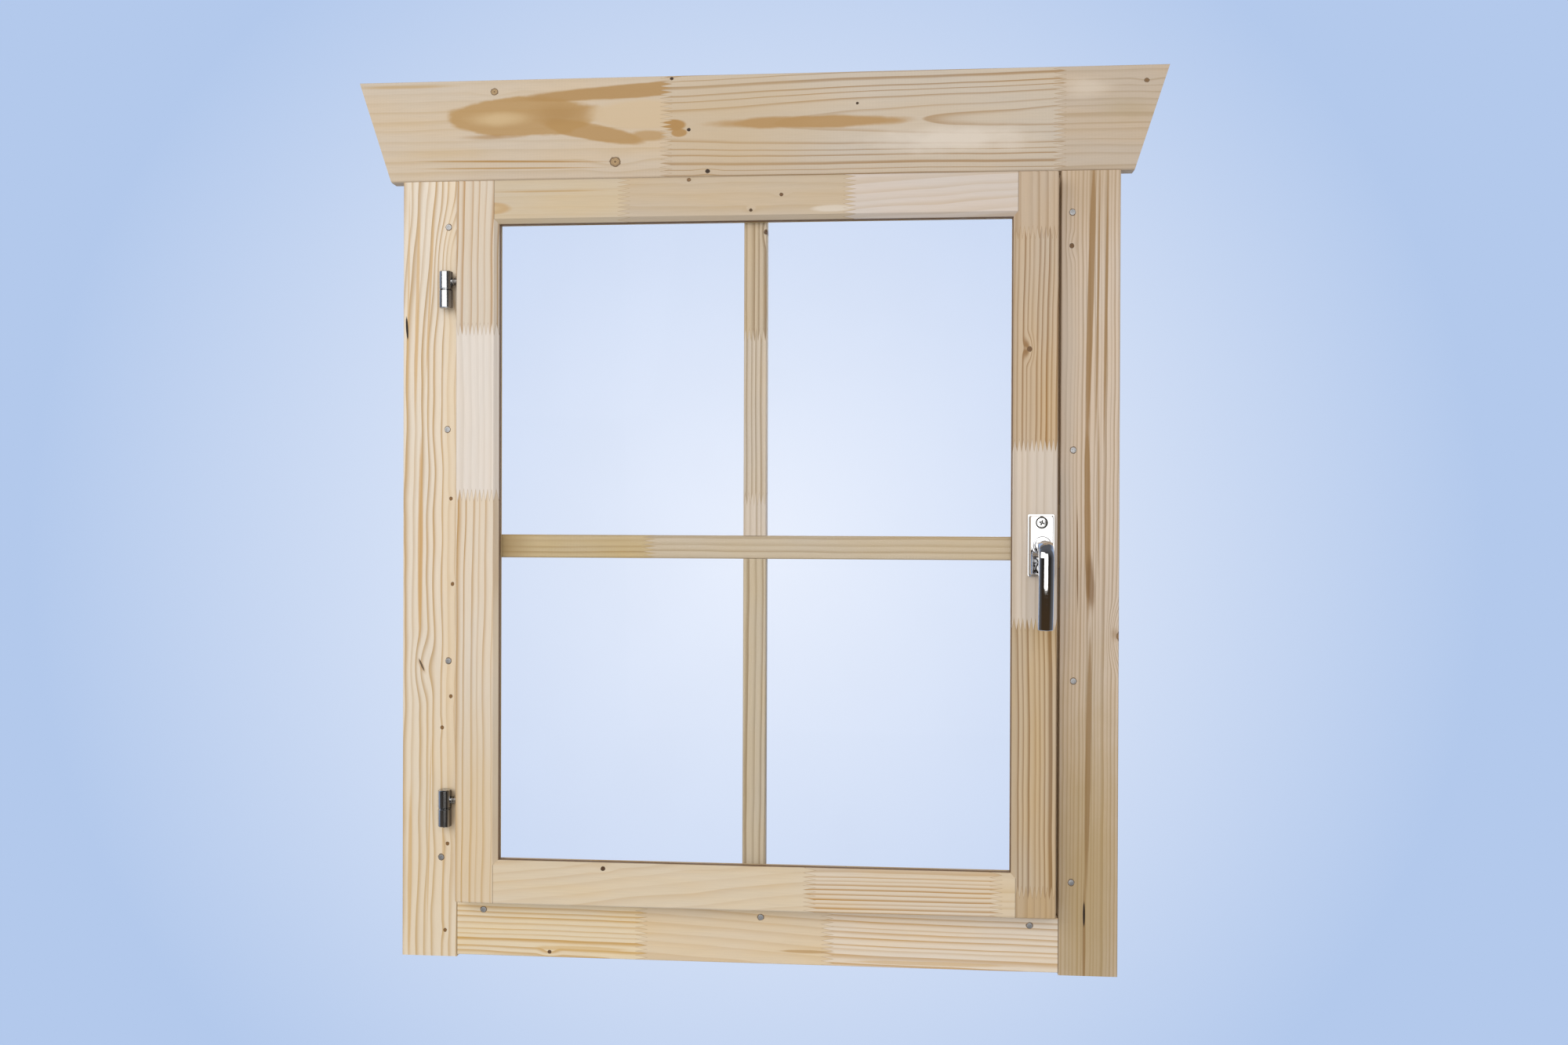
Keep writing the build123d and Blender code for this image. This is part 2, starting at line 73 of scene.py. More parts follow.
class Graph:
    """Short calls for wiring shader nodes in one tree."""

    def __init__(self, tree: Tree) -> None:
        """Keep the tree that nodes are added to."""
        self.tree = tree

    def add(self, kind: str, **settings: object) -> Node:
        """Add a node of one of Blender's types, with its properties set."""
        node = self.tree.nodes.new(kind)
        for key, value in settings.items():
            setattr(node, key, value)
        return node

    def feed(self, socket: Socket, value: object) -> None:
        """Link a socket to an input, or set the input's own value."""
        if isinstance(value, bpy.types.NodeSocket):
            self.tree.links.new(value, socket)
        else:
            socket.default_value = value

    def fill(self, node: Node, values: Sequence[object]) -> Node:
        """Feed a node's inputs in their order."""
        for socket, value in zip(node.inputs, values):
            self.feed(socket, value)
        return node

    def wire(self, kind: str, values: Dict[str, object]) -> Node:
        """Add a node and feed its inputs by their names."""
        node = self.add(kind)
        for label, value in values.items():
            self.feed(node.inputs[label], value)
        return node

    def math(self, operation: str, *values: Value, clamp: bool = False) -> Socket:
        """Add a Math node, whose result may be held to 0..1."""
        return self.fill(self.add("ShaderNodeMath", operation=operation, use_clamp=clamp), values).outputs[0]

    def times(self, first: Value, second: Value) -> Socket:
        """Multiply two values."""
        return self.math("MULTIPLY", first, second)

    def plus(self, first: Value, second: Value) -> Socket:
        """Add two values up."""
        return self.math("ADD", first, second)

    def minus(self, first: Value, second: Value) -> Socket:
        """Take the second value from the first."""
        return self.math("SUBTRACT", first, second)

    def most(self, first: Value, second: Value) -> Socket:
        """Keep the larger of two values."""
        return self.math("MAXIMUM", first, second)

    def linear(self, value: Value, factor: Value, offset: Value) -> Socket:
        """Multiply a value and add an offset."""
        return self.math("MULTIPLY_ADD", value, factor, offset)

    def span(self, x: Value, y: Value) -> Socket:
        """Give the length of a flat vector."""
        return self.math("SQRT", self.plus(self.times(x, x), self.times(y, y)))

    def centred(self, noise: Socket, spread: Value) -> Socket:
        """Turn noise around 0.5 into noise around 0 of a given spread."""
        return self.times(self.minus(noise, 0.5), spread)

    def ease(self, value: Value, low: Value, high: Value, start: float = 0.0, end: float = 1.0) -> Socket:
        """Map a value smoothly from the range low..high to start..end."""
        node = self.add("ShaderNodeMapRange", interpolation_type="SMOOTHSTEP")
        return self.fill(node, (value, low, high, start, end)).outputs[0]

    def fade(self, value: Value, low: Value, high: Value, start: float = 1.0) -> Socket:
        """Fall smoothly from start at low to nothing at high."""
        return self.ease(value, low, high, start, 0.0)

    def blend(self, factor: Value, first: object, second: object) -> Socket:
        """Mix two colours, the factor being the second one's share."""
        node = self.add("ShaderNodeMix", data_type="RGBA")
        for index, value in ((0, factor), (6, first), (7, second)):
            self.feed(node.inputs[index], value)
        return node.outputs[2]

    def vector(self, x: Value, y: Value, z: Value) -> Socket:
        """Join three values into a vector."""
        return self.fill(self.add("ShaderNodeCombineXYZ"), (x, y, z)).outputs[0]

    def stretch(self, along: Value, across: Value, third: Value, shares: Tuple[float, float]) -> Socket:
        """Join a vector whose first two values are scaled each by its own share."""
        return self.vector(self.times(along, shares[0]), self.times(across, shares[1]), third)

    def noise(self, vector: Socket, scale: float, detail: float = 2.0, roughness: float = 0.5) -> Socket:
        """Add noise over a vector, as values around 0.5."""
        values = {"Vector": vector, "Scale": scale, "Detail": detail, "Roughness": roughness}
        return self.wire("ShaderNodeTexNoise", values).outputs[0]

    def spot(self, kind: str = "Object") -> Socket:
        """Read the point being shaded, in one kind of coordinates."""
        return self.add("ShaderNodeTexCoord").outputs[kind]

    def split(self, vector: Socket) -> bpy.types.bpy_prop_collection:
        """Split a vector into its three values."""
        return self.fill(self.add("ShaderNodeSeparateXYZ"), [vector]).outputs

    def group(self, tree: Tree, *values: Value) -> Node:
        """Use a node group, its inputs fed in their order."""
        return self.fill(self.add("ShaderNodeGroup", node_tree=tree), values)

    def give(self, **results: Socket) -> Tree:
        """Feed a node group's outputs by their names and hand the group over."""
        self.wire("NodeGroupOutput", results)
        return self.tree

    def relief(self, shader: Node, height: Socket, strength: float, distance: float) -> None:
        """Bump a shader's surface by a height."""
        bump = self.wire("ShaderNodeBump", {"Strength": strength, "Distance": distance, "Height": height})
        self.feed(shader.inputs["Normal"], bump.outputs[0])

    def choose(self, factor: Value, first: Node, second: Node) -> Node:
        """Mix two shaders, the factor being the second one's share."""
        return self.fill(self.add("ShaderNodeMixShader"), (factor, first.outputs[0], second.outputs[0]))

    def show(self, shader: Node, kind: str = "ShaderNodeOutputMaterial") -> None:
        """Send a shader to the tree's output."""
        self.wire(kind, {"Surface": shader.outputs[0]})


def blank(owner: Union[Material, bpy.types.World]) -> Graph:
    """Clear a material's or a world's nodes and give a graph to wire new ones."""
    owner.use_nodes = True
    owner.node_tree.nodes.clear()
    return Graph(owner.node_tree)


def start_group(name: str, inputs: Sequence[str], outputs: Sequence[str]) -> Graph:
    """Start a shader node group of plain number sockets."""
    tree = bpy.data.node_groups.new(name, "ShaderNodeTree")
    for way, labels in (("INPUT", inputs), ("OUTPUT", outputs)):
        for label in labels:
            tree.interface.new_socket(label, in_out=way, socket_type="NodeSocketFloat")
    return Graph(tree)


class TimberGroups:
    """Node groups that every timber finish shares, worked in millimetres."""

    # Noise frequencies, in turns a millimetre: along the grain, or along and across it.
    SWAY = (0.0065, 0.016)
    DRIFT = 0.11
    STREAK = 0.025
    CLOUD = (0.007, 0.035)
    PORE = (0.16, 4.0)
    STAIN_EDGE = (0.03, 0.06)
    KNOT_EDGE = 0.45
    # Rings: stray of their widths in millimetres, faintest dark line, and where in a ring it peaks and ends.
    STRAY = 7.0
    FAINTEST = 0.4
    PEAK = 0.94
    END = (0.95, 1.0)
    STEEP = 1.4
    # Knots, in shares of the radius: their parts' edges, and the reach of the grain's bulge.
    KNOT_LONG = 1.12
    KNOT_RAGGED = 0.45
    CORE_END = (0.72, 1.05)
    RIM_START = (0.6, 0.86)
    RIM_END = (0.9, 1.08)
    RING_START = (0.42, 0.5)
    RING_END = (0.5, 0.58)
    RING_DEPTH = 0.6
    PITH_END = (0.1, 0.34)
    BULGE_LONG = 0.45
    BULGE_END = (0.2, 3.4)

    def __init__(self) -> None:
        """Build each group once."""
        self.rings = self._growth_rings()
        self.fibre = self._fibre()
        self.knot = self._knot()
        self.stain = self._stain()

    def _growth_rings(self) -> Tree:
        """Rings of a log cut by a board, as a solid pattern."""
        names = ("Along", "Across", "Deep", "Pith Across", "Pith Deep", "Lean", "Taper", "Gap", "Phase")
        g = start_group("growth_rings", names + ("Wave", "Onset", "Push", "Seed"), ("Late",))
        source = g.add("NodeGroupInput").outputs
        along, across, deep, pith_across, pith_deep, lean, taper, gap, phase, wave = source[:10]
        onset, push, seed = source[10:13]
        swing = g.centred(g.noise(g.stretch(along, across, seed, self.SWAY), 1.0), wave)
        side = g.minus(g.minus(across, pith_across), g.times(lean, along))
        depth = g.plus(g.plus(deep, pith_deep), g.times(taper, along))
        radius = g.plus(g.plus(g.span(side, depth), swing), g.plus(push, phase))
        drift = g.noise(g.vector(g.times(radius, self.DRIFT), seed, 3.0), 1.0, 1.0)
        turns = g.math("DIVIDE", g.plus(radius, g.centred(drift, self.STRAY)), gap)
        rise = g.math("FRACT", turns)
        lottery = g.add("ShaderNodeTexWhiteNoise", noise_dimensions="2D")
        g.feed(lottery.inputs["Vector"], g.vector(g.math("FLOOR", turns), seed, 0.0))
        weight = g.linear(lottery.outputs["Value"], 1.0 - self.FAINTEST, self.FAINTEST)
        swell = g.math("POWER", g.ease(rise, onset, self.PEAK), self.STEEP)
        band = g.times(swell, g.fade(rise, *self.END))
        return g.give(Late=g.times(band, weight))

    def _fibre(self) -> Tree:
        """Fine streaks along the grain, slow broad patches that are partly random tone and partly painted
        sheen, and pores.
        """
        g = start_group("wood_fibre", ("Along", "Across", "Deep", "Seed"), ("Streak", "Cloud", "Pore"))
        along, across, deep, seed = g.add("NodeGroupInput").outputs[:4]
        thin = g.vector(g.times(along, self.STREAK), across, g.plus(deep, seed))
        wide = g.stretch(along, across, seed, self.CLOUD)
        hair = g.stretch(along, across, g.times(deep, self.PORE[1]), self.PORE)
        streak = g.noise(thin, 1.3, 3.0, 0.6)
        return g.give(Streak=streak, Cloud=g.noise(wide, 1.0), Pore=g.noise(hair, 1.0, 2.0, 0.65))

    def _knot(self) -> Tree:
        """A knot: a ringed core, a dark rim and the grain's bulge round it."""
        names = ("Along", "Across", "At Along", "At Across", "Radius")
        g = start_group("knot_mark", names, ("Core", "Rim", "Push"))
        along, across, at_along, at_across, radius = g.add("NodeGroupInput").outputs[:5]
        x = g.math("DIVIDE", g.minus(along, at_along), g.times(radius, self.KNOT_LONG))
        y = g.math("DIVIDE", g.minus(across, at_across), radius)
        wobble = g.noise(g.vector(along, across, 0.0), self.KNOT_EDGE)
        distance = g.span(x, y)
        ragged = g.plus(distance, g.centred(wobble, self.KNOT_RAGGED))
        edge = g.times(g.ease(ragged, *self.RIM_START), g.fade(ragged, *self.RIM_END))
        inner = g.times(g.ease(distance, *self.RING_START), g.fade(distance, *self.RING_END, self.RING_DEPTH))
        rim = g.most(g.most(edge, inner), g.fade(distance, *self.PITH_END))
        bulge = g.fade(g.span(g.times(x, self.BULGE_LONG), y), *self.BULGE_END)
        return g.give(Core=g.fade(ragged, *self.CORE_END), Rim=rim, Push=bulge)

    def _stain(self) -> Tree:
        """A long patch with a ragged edge, such as heartwood or a resin slit; two patches are partly painted
        light: a lifted shadow and a sheen.
        """
        names = ("Along", "Across", "At Along", "At Across", "Half Length", "Half Width")
        g = start_group("stain_mark", names + ("Ragged", "Soft", "Lean"), ("Mask",))
        source = g.add("NodeGroupInput").outputs
        along, across, at_along, at_across, half_length, half_width, ragged, soft, lean = source[:9]
        ahead = g.minus(along, at_along)
        aside = g.minus(g.minus(across, at_across), g.times(lean, ahead))
        distance = g.span(g.math("DIVIDE", ahead, half_length), g.math("DIVIDE", aside, half_width))
        rough = g.noise(g.stretch(along, across, at_along, self.STAIN_EDGE), 1.0, 3.0)
        edge = g.plus(distance, g.centred(rough, ragged))
        return g.give(Mask=g.fade(edge, g.minus(1.0, soft), 1.0))


@dataclass(frozen=True)
class Lamella:
    """One finger-jointed length of a board: how it was cut from the log, and its colours."""

    pith_across: float
    pith_deep: float
    gap: float
    pale: str
    late: str
    lean: float = 0.0
    taper: float = 0.0
    phase: float = 0.0
    wave: float = 4.0
    onset: float = 0.3
    strength: float = 1.0


@dataclass(frozen=True)
class Knot:
    """A knot's place on the face, in millimetres, and how dark it is; also used for the rings of painted
    shade round screw heads.
    """

    along: float
    across: float
    radius: float
    core: str = "b08a5c"
    rim: str = "6a4a2c"
    push: float = 1.0
    shown: bool = True


def screw_shade_rings(places: Sequence[Tuple[float, float]]) -> List[Knot]:
    """Dark rings of painted shade round the screw heads, where the screws press into the wood, given as
    (along, across) places.
    """
    return [Knot(along, across, 3.1, "8a7459", "6b543d", 0.0) for along, across in places]


@dataclass(frozen=True)
class Stain:
    """A coloured patch along the grain, in millimetres."""

    along: float
    across: float
    half_length: float
    half_width: float
    colour: str
    amount: float = 0.8
    ragged: float = 0.8
    soft: float = 0.4
    lean: float = 0.0
    part: Optional[int] = None


@dataclass(frozen=True)
class TimberFinish:
    """Planed, untreated spruce of one piece."""

    node: str
    run: Run
    face: float
    lamellas: Tuple[Lamella, ...]
    joints: Tuple[float, ...] = ()
    knots: Tuple[Knot, ...] = ()
    stains: Tuple[Stain, ...] = ()
    # Places along the piece of painted shade lines, where its ends meet the next part.
    ends: Tuple[float, ...] = ()
    seed: float = 0.0
    finger_length: float = 11.5
    finger_pitch: float = 3.9
    ripple: float = 0.0

    RING_KEYS = ("pith_across", "pith_deep", "lean", "taper", "gap", "phase", "wave", "onset")
    STAIN_KEYS = ("along", "across", "half_length", "half_width", "ragged", "soft", "lean")
    SEED_STEP = 17.3
    RIM_SHARE = 0.85
    # Finger joints: unevenness and reach of the teeth, softness of the change, and the glue line.
    TOOTH_RATE = 0.27
    TOOTH_REACH = (0.5, 0.75)
    JOINT_SOFT = 0.35
    JOINT_LINE = (0.25, 1.3)
    JOINT_SHARE = 0.5
    JOINT_TONE = "9a7a52"
    # Painted shade lines where a piece's end meets the next part: their band, share and tone.
    SHADE_LINE_BAND = (0.25, 0.7)
    SHADE_LINE_SHARE = 0.75
    SHADE_LINE_TONE = "5b452f"
    RIPPLE_RATE = 2.05
    # Factor and offset of what the fibres do to brightness, saturation and roughness; the slow broad patches
    # are partly random tone and partly painted sheen.
    STREAK_LEVEL = (0.16, 0.92)
    CLOUD_AND_SHEEN_LEVEL = (0.10, 0.95)
    CLOUD_AND_SHEEN_SATURATION = (0.7, 0.65)
    PORE_ROUGH = (0.22, 0.44)
    LATE_ROUGH = -0.08
    SHEEN = 0.32
    LATE_HEIGHT = 0.55
    PORE_HEIGHT = 0.6
    RELIEF = (0.22, 0.4 * MM)

    def material(self, groups: TimberGroups) -> Material:
        """Build the piece's material.

        Args:
            groups: The shared timber node groups.

        Returns:
            A material on Object coordinates.
        """
        material = bpy.data.materials.new(f"spruce_{self.node}")
        g = blank(material)
        x, y, z = [g.times(socket, 1 / MM) for socket in g.split(g.spot())]
        along, across = (z, x) if self.run is Run.UPRIGHT else (x, z)
        deep = g.minus(y, self.face)
        steps, near_joint = self._finger_steps(g, along, across)
        knots = [g.group(groups.knot, along, across, k.along, k.across, k.radius) for k in self.knots]
        push: Value = 0.0
        for knot, mark in zip(self.knots, knots):
            push = g.linear(mark.outputs["Push"], knot.radius * knot.push, push)
        picks = [self._pick(g, steps, key) for key in self.RING_KEYS]
        seed = self._step(g, steps, [self.seed + self.SEED_STEP * i for i in range(len(self.lamellas))])
        rings = g.group(groups.rings, along, across, deep, *picks, push, seed)
        fibre = g.group(groups.fibre, along, across, deep, seed)
        lines = g.times(rings.outputs["Late"], self._pick(g, steps, "strength"))
        wood = g.blend(lines, self._pick_colour(g, steps, "pale"), self._pick_colour(g, steps, "late"))
        colour = self._vary(g, wood, fibre, along)
        for stain in self.stains:
            spot = [getattr(stain, key) for key in self.STAIN_KEYS]
            mask = g.group(groups.stain, along, across, *spot).outputs["Mask"]
            if stain.part is not None:
                mask = g.times(mask, self._share(g, steps, stain.part))
            colour = g.blend(g.times(mask, stain.amount), colour, tone(stain.colour))
        for knot, mark in zip(self.knots, knots):
            if knot.shown:
                colour = g.blend(mark.outputs["Core"], colour, tone(knot.core))
                colour = g.blend(g.times(mark.outputs["Rim"], self.RIM_SHARE), colour, tone(knot.rim))
        if near_joint is not None:
            colour = g.blend(g.times(near_joint, self.JOINT_SHARE), colour, tone(self.JOINT_TONE))
        # Painted shade: a dark line at each end where the piece meets the next part.
        for end in self.ends:
            shade_line = g.fade(g.math("ABSOLUTE", g.minus(along, end)), *self.SHADE_LINE_BAND, self.SHADE_LINE_SHARE)
            colour = g.blend(shade_line, colour, tone(self.SHADE_LINE_TONE))
        self._surface(g, colour, lines, fibre)
        return material

    def _finger_steps(self, g: Graph, along: Socket, across: Socket) -> Tuple[List[Socket], Optional[Socket]]:
        """Find which lamella a point is in, with fingers cut at each joint."""
        if not self.joints:
            return [], None
        half = self.finger_pitch / 2
        tooth = g.math("DIVIDE", g.math("PINGPONG", across, half), half)
        uneven = g.noise(g.vector(g.times(across, self.TOOTH_RATE), self.seed, 0.0), 1.0, 1.0)
        reach = g.linear(uneven, *[self.finger_length * share for share in self.TOOTH_REACH])
        edge = g.linear(g.minus(tooth, 0.5), reach, along)
        soft = self.JOINT_SOFT
        steps = [g.ease(edge, joint - soft, joint + soft) for joint in self.joints]
        near: Value = 0.0
        for joint in self.joints:
            away = g.math("ABSOLUTE", g.minus(edge, joint))
            near = g.most(near, g.fade(away, *self.JOINT_LINE))
        return steps, near

    @staticmethod
    def _share(g: Graph, steps: List[Socket], part: int) -> Value:
        """Tell whether a point is in one of the lengths, as 0 or 1."""
        reached: Value = steps[part - 1] if part else 1.0
        return g.minus(reached, steps[part]) if part < len(steps) else reached

    @staticmethod
    def _step(g: Graph, steps: List[Socket], values: List[float]) -> Value:
        """Change a number at each joint."""
        result: Value = values[0]
        for step, before, after in zip(steps, values, values[1:]):
            if after != before:
                result = g.linear(step, after - before, result)
        return result

    def _pick(self, g: Graph, steps: List[Socket], key: str) -> Value:
        """Give each lamella its own number."""
        return self._step(g, steps, [getattr(part, key) for part in self.lamellas])

    def _pick_colour(self, g: Graph, steps: List[Socket], key: str) -> object:
        """Give each lamella its own colour."""
        colours = [tone(getattr(part, key)) for part in self.lamellas]
        result: object = colours[0]
        for step, colour in zip(steps, colours[1:]):
            result = g.blend(step, result, colour)
        return result

    def _vary(self, g: Graph, colour: Socket, fibre: Node, along: Socket) -> Socket:
        """Lighten and darken the colour along fine fibres, and along slow broad patches that are partly
        random tone and partly painted sheen.
        """
        cloud_and_sheen = fibre.outputs["Cloud"]
        streak = g.linear(fibre.outputs["Streak"], *self.STREAK_LEVEL)
        level = g.times(streak, g.linear(cloud_and_sheen, *self.CLOUD_AND_SHEEN_LEVEL))
        if self.ripple:
            level = g.linear(g.math("SINE", g.times(along, self.RIPPLE_RATE)), self.ripple, level)
        values = {"Saturation": g.linear(cloud_and_sheen, *self.CLOUD_AND_SHEEN_SATURATION), "Value": level, "Color": colour}
        return g.wire("ShaderNodeHueSaturation", values).outputs[0]

    def _surface(self, g: Graph, colour: Socket, lines: Socket, fibre: Node) -> None:
        """Wire the shader: colour, sheen of planed wood, and a fine relief."""
        pore = fibre.outputs["Pore"]
        rough = g.linear(lines, self.LATE_ROUGH, g.linear(pore, *self.PORE_ROUGH))
        values = {"Base Color": colour, "Roughness": rough, "Specular IOR Level": self.SHEEN}
        shader = g.wire("ShaderNodeBsdfPrincipled", values)
        height = g.linear(lines, self.LATE_HEIGHT, g.times(pore, self.PORE_HEIGHT))
        g.relief(shader, height, *self.RELIEF)
        g.show(shader)


@dataclass(frozen=True)
class MetalFinish:
    """Bright metal with fine scuffs and darker patches, which on the hinges' zinc are painted reflection
    stripes.
    """

    name: str
    colour: str
    roughness: float
    scuff: float
    mottle_and_reflection_stripes: float
    grain: Place = (300.0, 300.0, 300.0)
    relief: float = 0.05

    BROAD = 0.22
    MOTTLE_AND_STRIPE_BAND = (0.3, 0.7)
    RELIEF_DEPTH = 0.2 * MM

    def material(self) -> Material:
        """Build the metal's material on Object coordinates."""
        material = bpy.data.materials.new(self.name)
        g = blank(material)
        mapped = g.wire("ShaderNodeMapping", {"Vector": g.spot(), "Scale": self.grain}).outputs[0]
        fine = g.noise(mapped, 1.0, 3.0, 0.6)
        broad = g.noise(mapped, self.BROAD)
        base = tone(self.colour)
        values = {
            # Darker patches in the base colour: random mottle, which on the hinges' zinc is stretched into
            # painted reflection stripes.
            "Base Color": g.blend(g.ease(broad, *self.MOTTLE_AND_STRIPE_BAND), base, dimmed(base, 1.0 - self.mottle_and_reflection_stripes)),
            "Metallic": 1.0,
            "Roughness": g.linear(fine, self.scuff, self.roughness),
        }
        shader = g.wire("ShaderNodeBsdfPrincipled", values)
        g.relief(shader, fine, self.relief, self.RELIEF_DEPTH)
        g.show(shader)
        return material


@dataclass(frozen=True)
class PaneFinish:
    """Clear float glass with a faint film of dust."""

    name: str = "clear_pane"
    colour: str = "fcfdff"
    film: float = 0.99
    smear: float = 0.012
    bend: float = 1.1
    dust: float = 9.0

    FILM_BAND = (0.4, 0.7)
    SMEAR_BAND = (0.5, 0.8)

    def material(self) -> Material:
        """Build the glass, which lets light through to what is behind it."""
        material = bpy.data.materials.new(self.name)
        g = blank(material)
        dust = g.noise(g.spot(), self.dust, 3.0)
        clean = tone(self.colour)
        values = {
            "Base Color": g.blend(g.ease(dust, *self.FILM_BAND), clean, dimmed(clean, self.film)),
            "Roughness": g.ease(dust, *self.SMEAR_BAND, 0.0, self.smear),
            "Transmission Weight": 1.0,
            "IOR": self.bend,
        }
        glass = g.wire("ShaderNodeBsdfPrincipled", values)
        path = g.add("ShaderNodeLightPath").outputs
        unseen = g.most(path["Is Shadow Ray"], path["Is Diffuse Ray"])
        g.show(g.choose(unseen, glass, g.add("ShaderNodeBsdfTransparent")))
        return material


@dataclass(frozen=True)
class SealFinish:
    """Brown glazing sealant."""

    name: str = "brown_sealant"
    dark: str = "5a4028"
    light: str = "7c5d3e"
    lumps: float = 180.0

    LUMP_BAND = (0.3, 0.7)
    ROUGH = (0.4, 0.65)
    RELIEF = (0.3, 0.3 * MM)

    def material(self) -> Material:
        """Build the sealant's material on Object coordinates."""
        material = bpy.data.materials.new(self.name)
        g = blank(material)
        lumps = g.noise(g.spot(), self.lumps, 3.0)
        values = {
            "Base Color": g.blend(lumps, tone(self.dark), tone(self.light)),
            "Roughness": g.ease(lumps, *self.LUMP_BAND, *self.ROUGH),
        }
        shader = g.wire("ShaderNodeBsdfPrincipled", values)
        g.relief(shader, lumps, *self.RELIEF)
        g.show(shader)
        return material


def dress(node: str, material: Material) -> None:
    """Give a solid of the frame its finish."""
    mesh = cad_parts[node].data
    mesh.materials.clear()
    mesh.materials.append(material)
    LOG.info("dressed %s with %s", node, material.name)


def mode(name: str) -> None:
    """Go to edit mode or object mode."""
    bpy.ops.object.mode_set(mode=name)


def only(piece: Piece) -> None:
    """Select one object alone and make it active."""
    bpy.ops.object.select_all(action="DESELECT")
    piece.select_set(True)
    bpy.context.view_layer.objects.active = piece


def settle(piece: Piece) -> None:
    """Put a piece's place into its mesh, so that its object sits at the origin."""
    only(piece)
    bpy.ops.object.transform_apply(location=True, rotation=True, scale=True)


def smooth(piece: Piece, degrees: float) -> None:
    """Shade a piece smooth, apart from edges sharper than an angle."""
    only(piece)
    bpy.ops.object.shade_smooth_by_angle(angle=math.radians(degrees))


def edit(piece: Piece, kind: str = "FACE") -> None:
    """Choose what edit mode selects on a piece, with nothing selected yet."""
    only(piece)
    mode("EDIT")
    bpy.ops.mesh.select_mode(type=kind)
    bpy.ops.mesh.select_all(action="DESELECT")
    mode("OBJECT")


def pick_faces(piece: Piece, test: Callable[[bpy.types.MeshPolygon], bool]) -> None:
    """Select the faces that pass a test and go to edit mode."""
    edit(piece)
    for face in piece.data.polygons:
        face.select = test(face)
    mode("EDIT")


def cylinder(name: str, sides: int, radius: float, depth: float, place: Place, turn: Place) -> Piece:
    """Start a piece from a cylinder, in metres, with its place in its mesh."""
    bpy.ops.mesh.primitive_cylinder_add(
        vertices=sides, radius=radius, depth=depth, location=place, rotation=turn
    )
    piece = bpy.context.object
    piece.name = name
    settle(piece)
    return piece


def cut(piece: Piece, cutter: Piece) -> None:
    """Take a cutter's shape out of a piece and remove the cutter."""
    only(piece)
    taken = piece.modifiers.new("recess", "BOOLEAN")
    taken.operation = "DIFFERENCE"
    taken.solver = "EXACT"
    taken.object = cutter
    bpy.ops.object.modifier_apply(modifier=taken.name)
    bpy.data.objects.remove(cutter, do_unlink=True)


@dataclass
class ScrewHead:
    """A cross-recessed screw head whose top looks along -Y, in metres."""

    radius: float
    height: float
    slot_length: float
    slot_width: float
    slot_depth: float
    dome: float = 0.25

    SIDES = 40
    FLAT = 0.9
    STEPS = (0.22, 0.3)
    TAPER = 0.8
    SHARP = 35.0

    def build(self, name: str) -> Piece:
        """Model the head at the origin, its seat on the plane y = 0.

        Args:
            name: The piece's name.

        Returns:
            The finished head.
        """
        middle = (0.0, -self.height / 2, 0.0)
        head = cylinder(name, self.SIDES, self.radius, self.height, middle, FACING_Y)
        pick_faces(head, lambda face: face.normal.y < -self.FLAT)
        for share in self.STEPS:
            bpy.ops.mesh.inset(thickness=self.radius * share)
            bpy.ops.transform.translate(value=(0.0, -self.height * self.dome, 0.0))
        mode("OBJECT")
        top = -min(vertex.co.y for vertex in head.data.vertices)
        for wide, tall in ((self.slot_length, self.slot_width), (self.slot_width, self.slot_length)):
            cut(head, self._bar(wide, tall, top))
        smooth(head, self.SHARP)
        return head

    def _bar(self, wide: float, tall: float, top: float) -> Piece:
        """Model one bar of the cross recess, narrowing inwards."""
        bpy.ops.mesh.primitive_cube_add(size=1.0, location=(0.0, -top, 0.0))
        bar = bpy.context.object
        bar.scale = (wide, self.slot_depth * 2, tall)
        settle(bar)
        pick_faces(bar, lambda face: face.normal.y > self.FLAT)
        bpy.ops.transform.resize(value=(self.TAPER, 1.0, self.TAPER), center_override=(0.0, -top, 0.0))
        mode("OBJECT")
        return bar


def copy_at(source: Piece, name: str, place: Place, turn: float = 0.0, flip: bool = False) -> Piece:
    """Copy a finished piece with a mesh of its own.

    Args:
        source: The piece to copy, made at the origin.
        name: The copy's name.
        place: Where it goes, in millimetres.
        turn: Turn about the Y axis, in radians.
        flip: Whether it faces +Y instead of -Y.

    Returns:
        The copy, at the origin with its place in its mesh.
    """
    twin = source.copy()
    twin.data = source.data.copy()
    twin.name = name
    bpy.context.scene.collection.objects.link(twin)
    facing = Matrix.Rotation(math.pi if flip else 0.0, 4, "Z")
    twin.matrix_world = Matrix.Translation(Vector(place) * MM) @ facing @ Matrix.Rotation(turn, 4, "Y")
    settle(twin)
    return twin


def washer(name: str, place: Place, outer: float, inner: float, thick: float, turn: Place) -> Piece:
    """Model a flat ring with a hole.

    Args:
        name: The piece's name.
        place: Its middle, in millimetres.
        outer: Outer radius, in millimetres.
        inner: Radius of the hole, in millimetres.
        thick: Thickness, in millimetres.
        turn: How its axis is turned away from Z.

    Returns:
        The finished ring.
    """
    sides = 48
    middle = tuple(Vector(place) * MM)
    ring = cylinder(name, sides, outer * MM, thick * MM, middle, turn)
    pick_faces(ring, lambda face: len(face.vertices) == sides)
    bpy.ops.mesh.inset(thickness=(outer - inner) * MM)
    bpy.ops.mesh.delete(type="FACE")
    bpy.ops.mesh.select_mode(type="EDGE")
    bpy.ops.mesh.select_non_manifold()
    bpy.ops.mesh.bridge_edge_loops()
    bpy.ops.mesh.select_all(action="SELECT")
    bpy.ops.mesh.normals_make_consistent(inside=False)
    mode("OBJECT")
    smooth(ring, ScrewHead.SHARP)
    return ring


def hand_over(piece: Piece, body: str, material: Material) -> None:
    """Give a new piece its finish and the body that carries it."""
    piece.data.materials.clear()
    piece.data.materials.append(material)
    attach(piece, body)
    LOG.info("built %s on %s", piece.name, body)


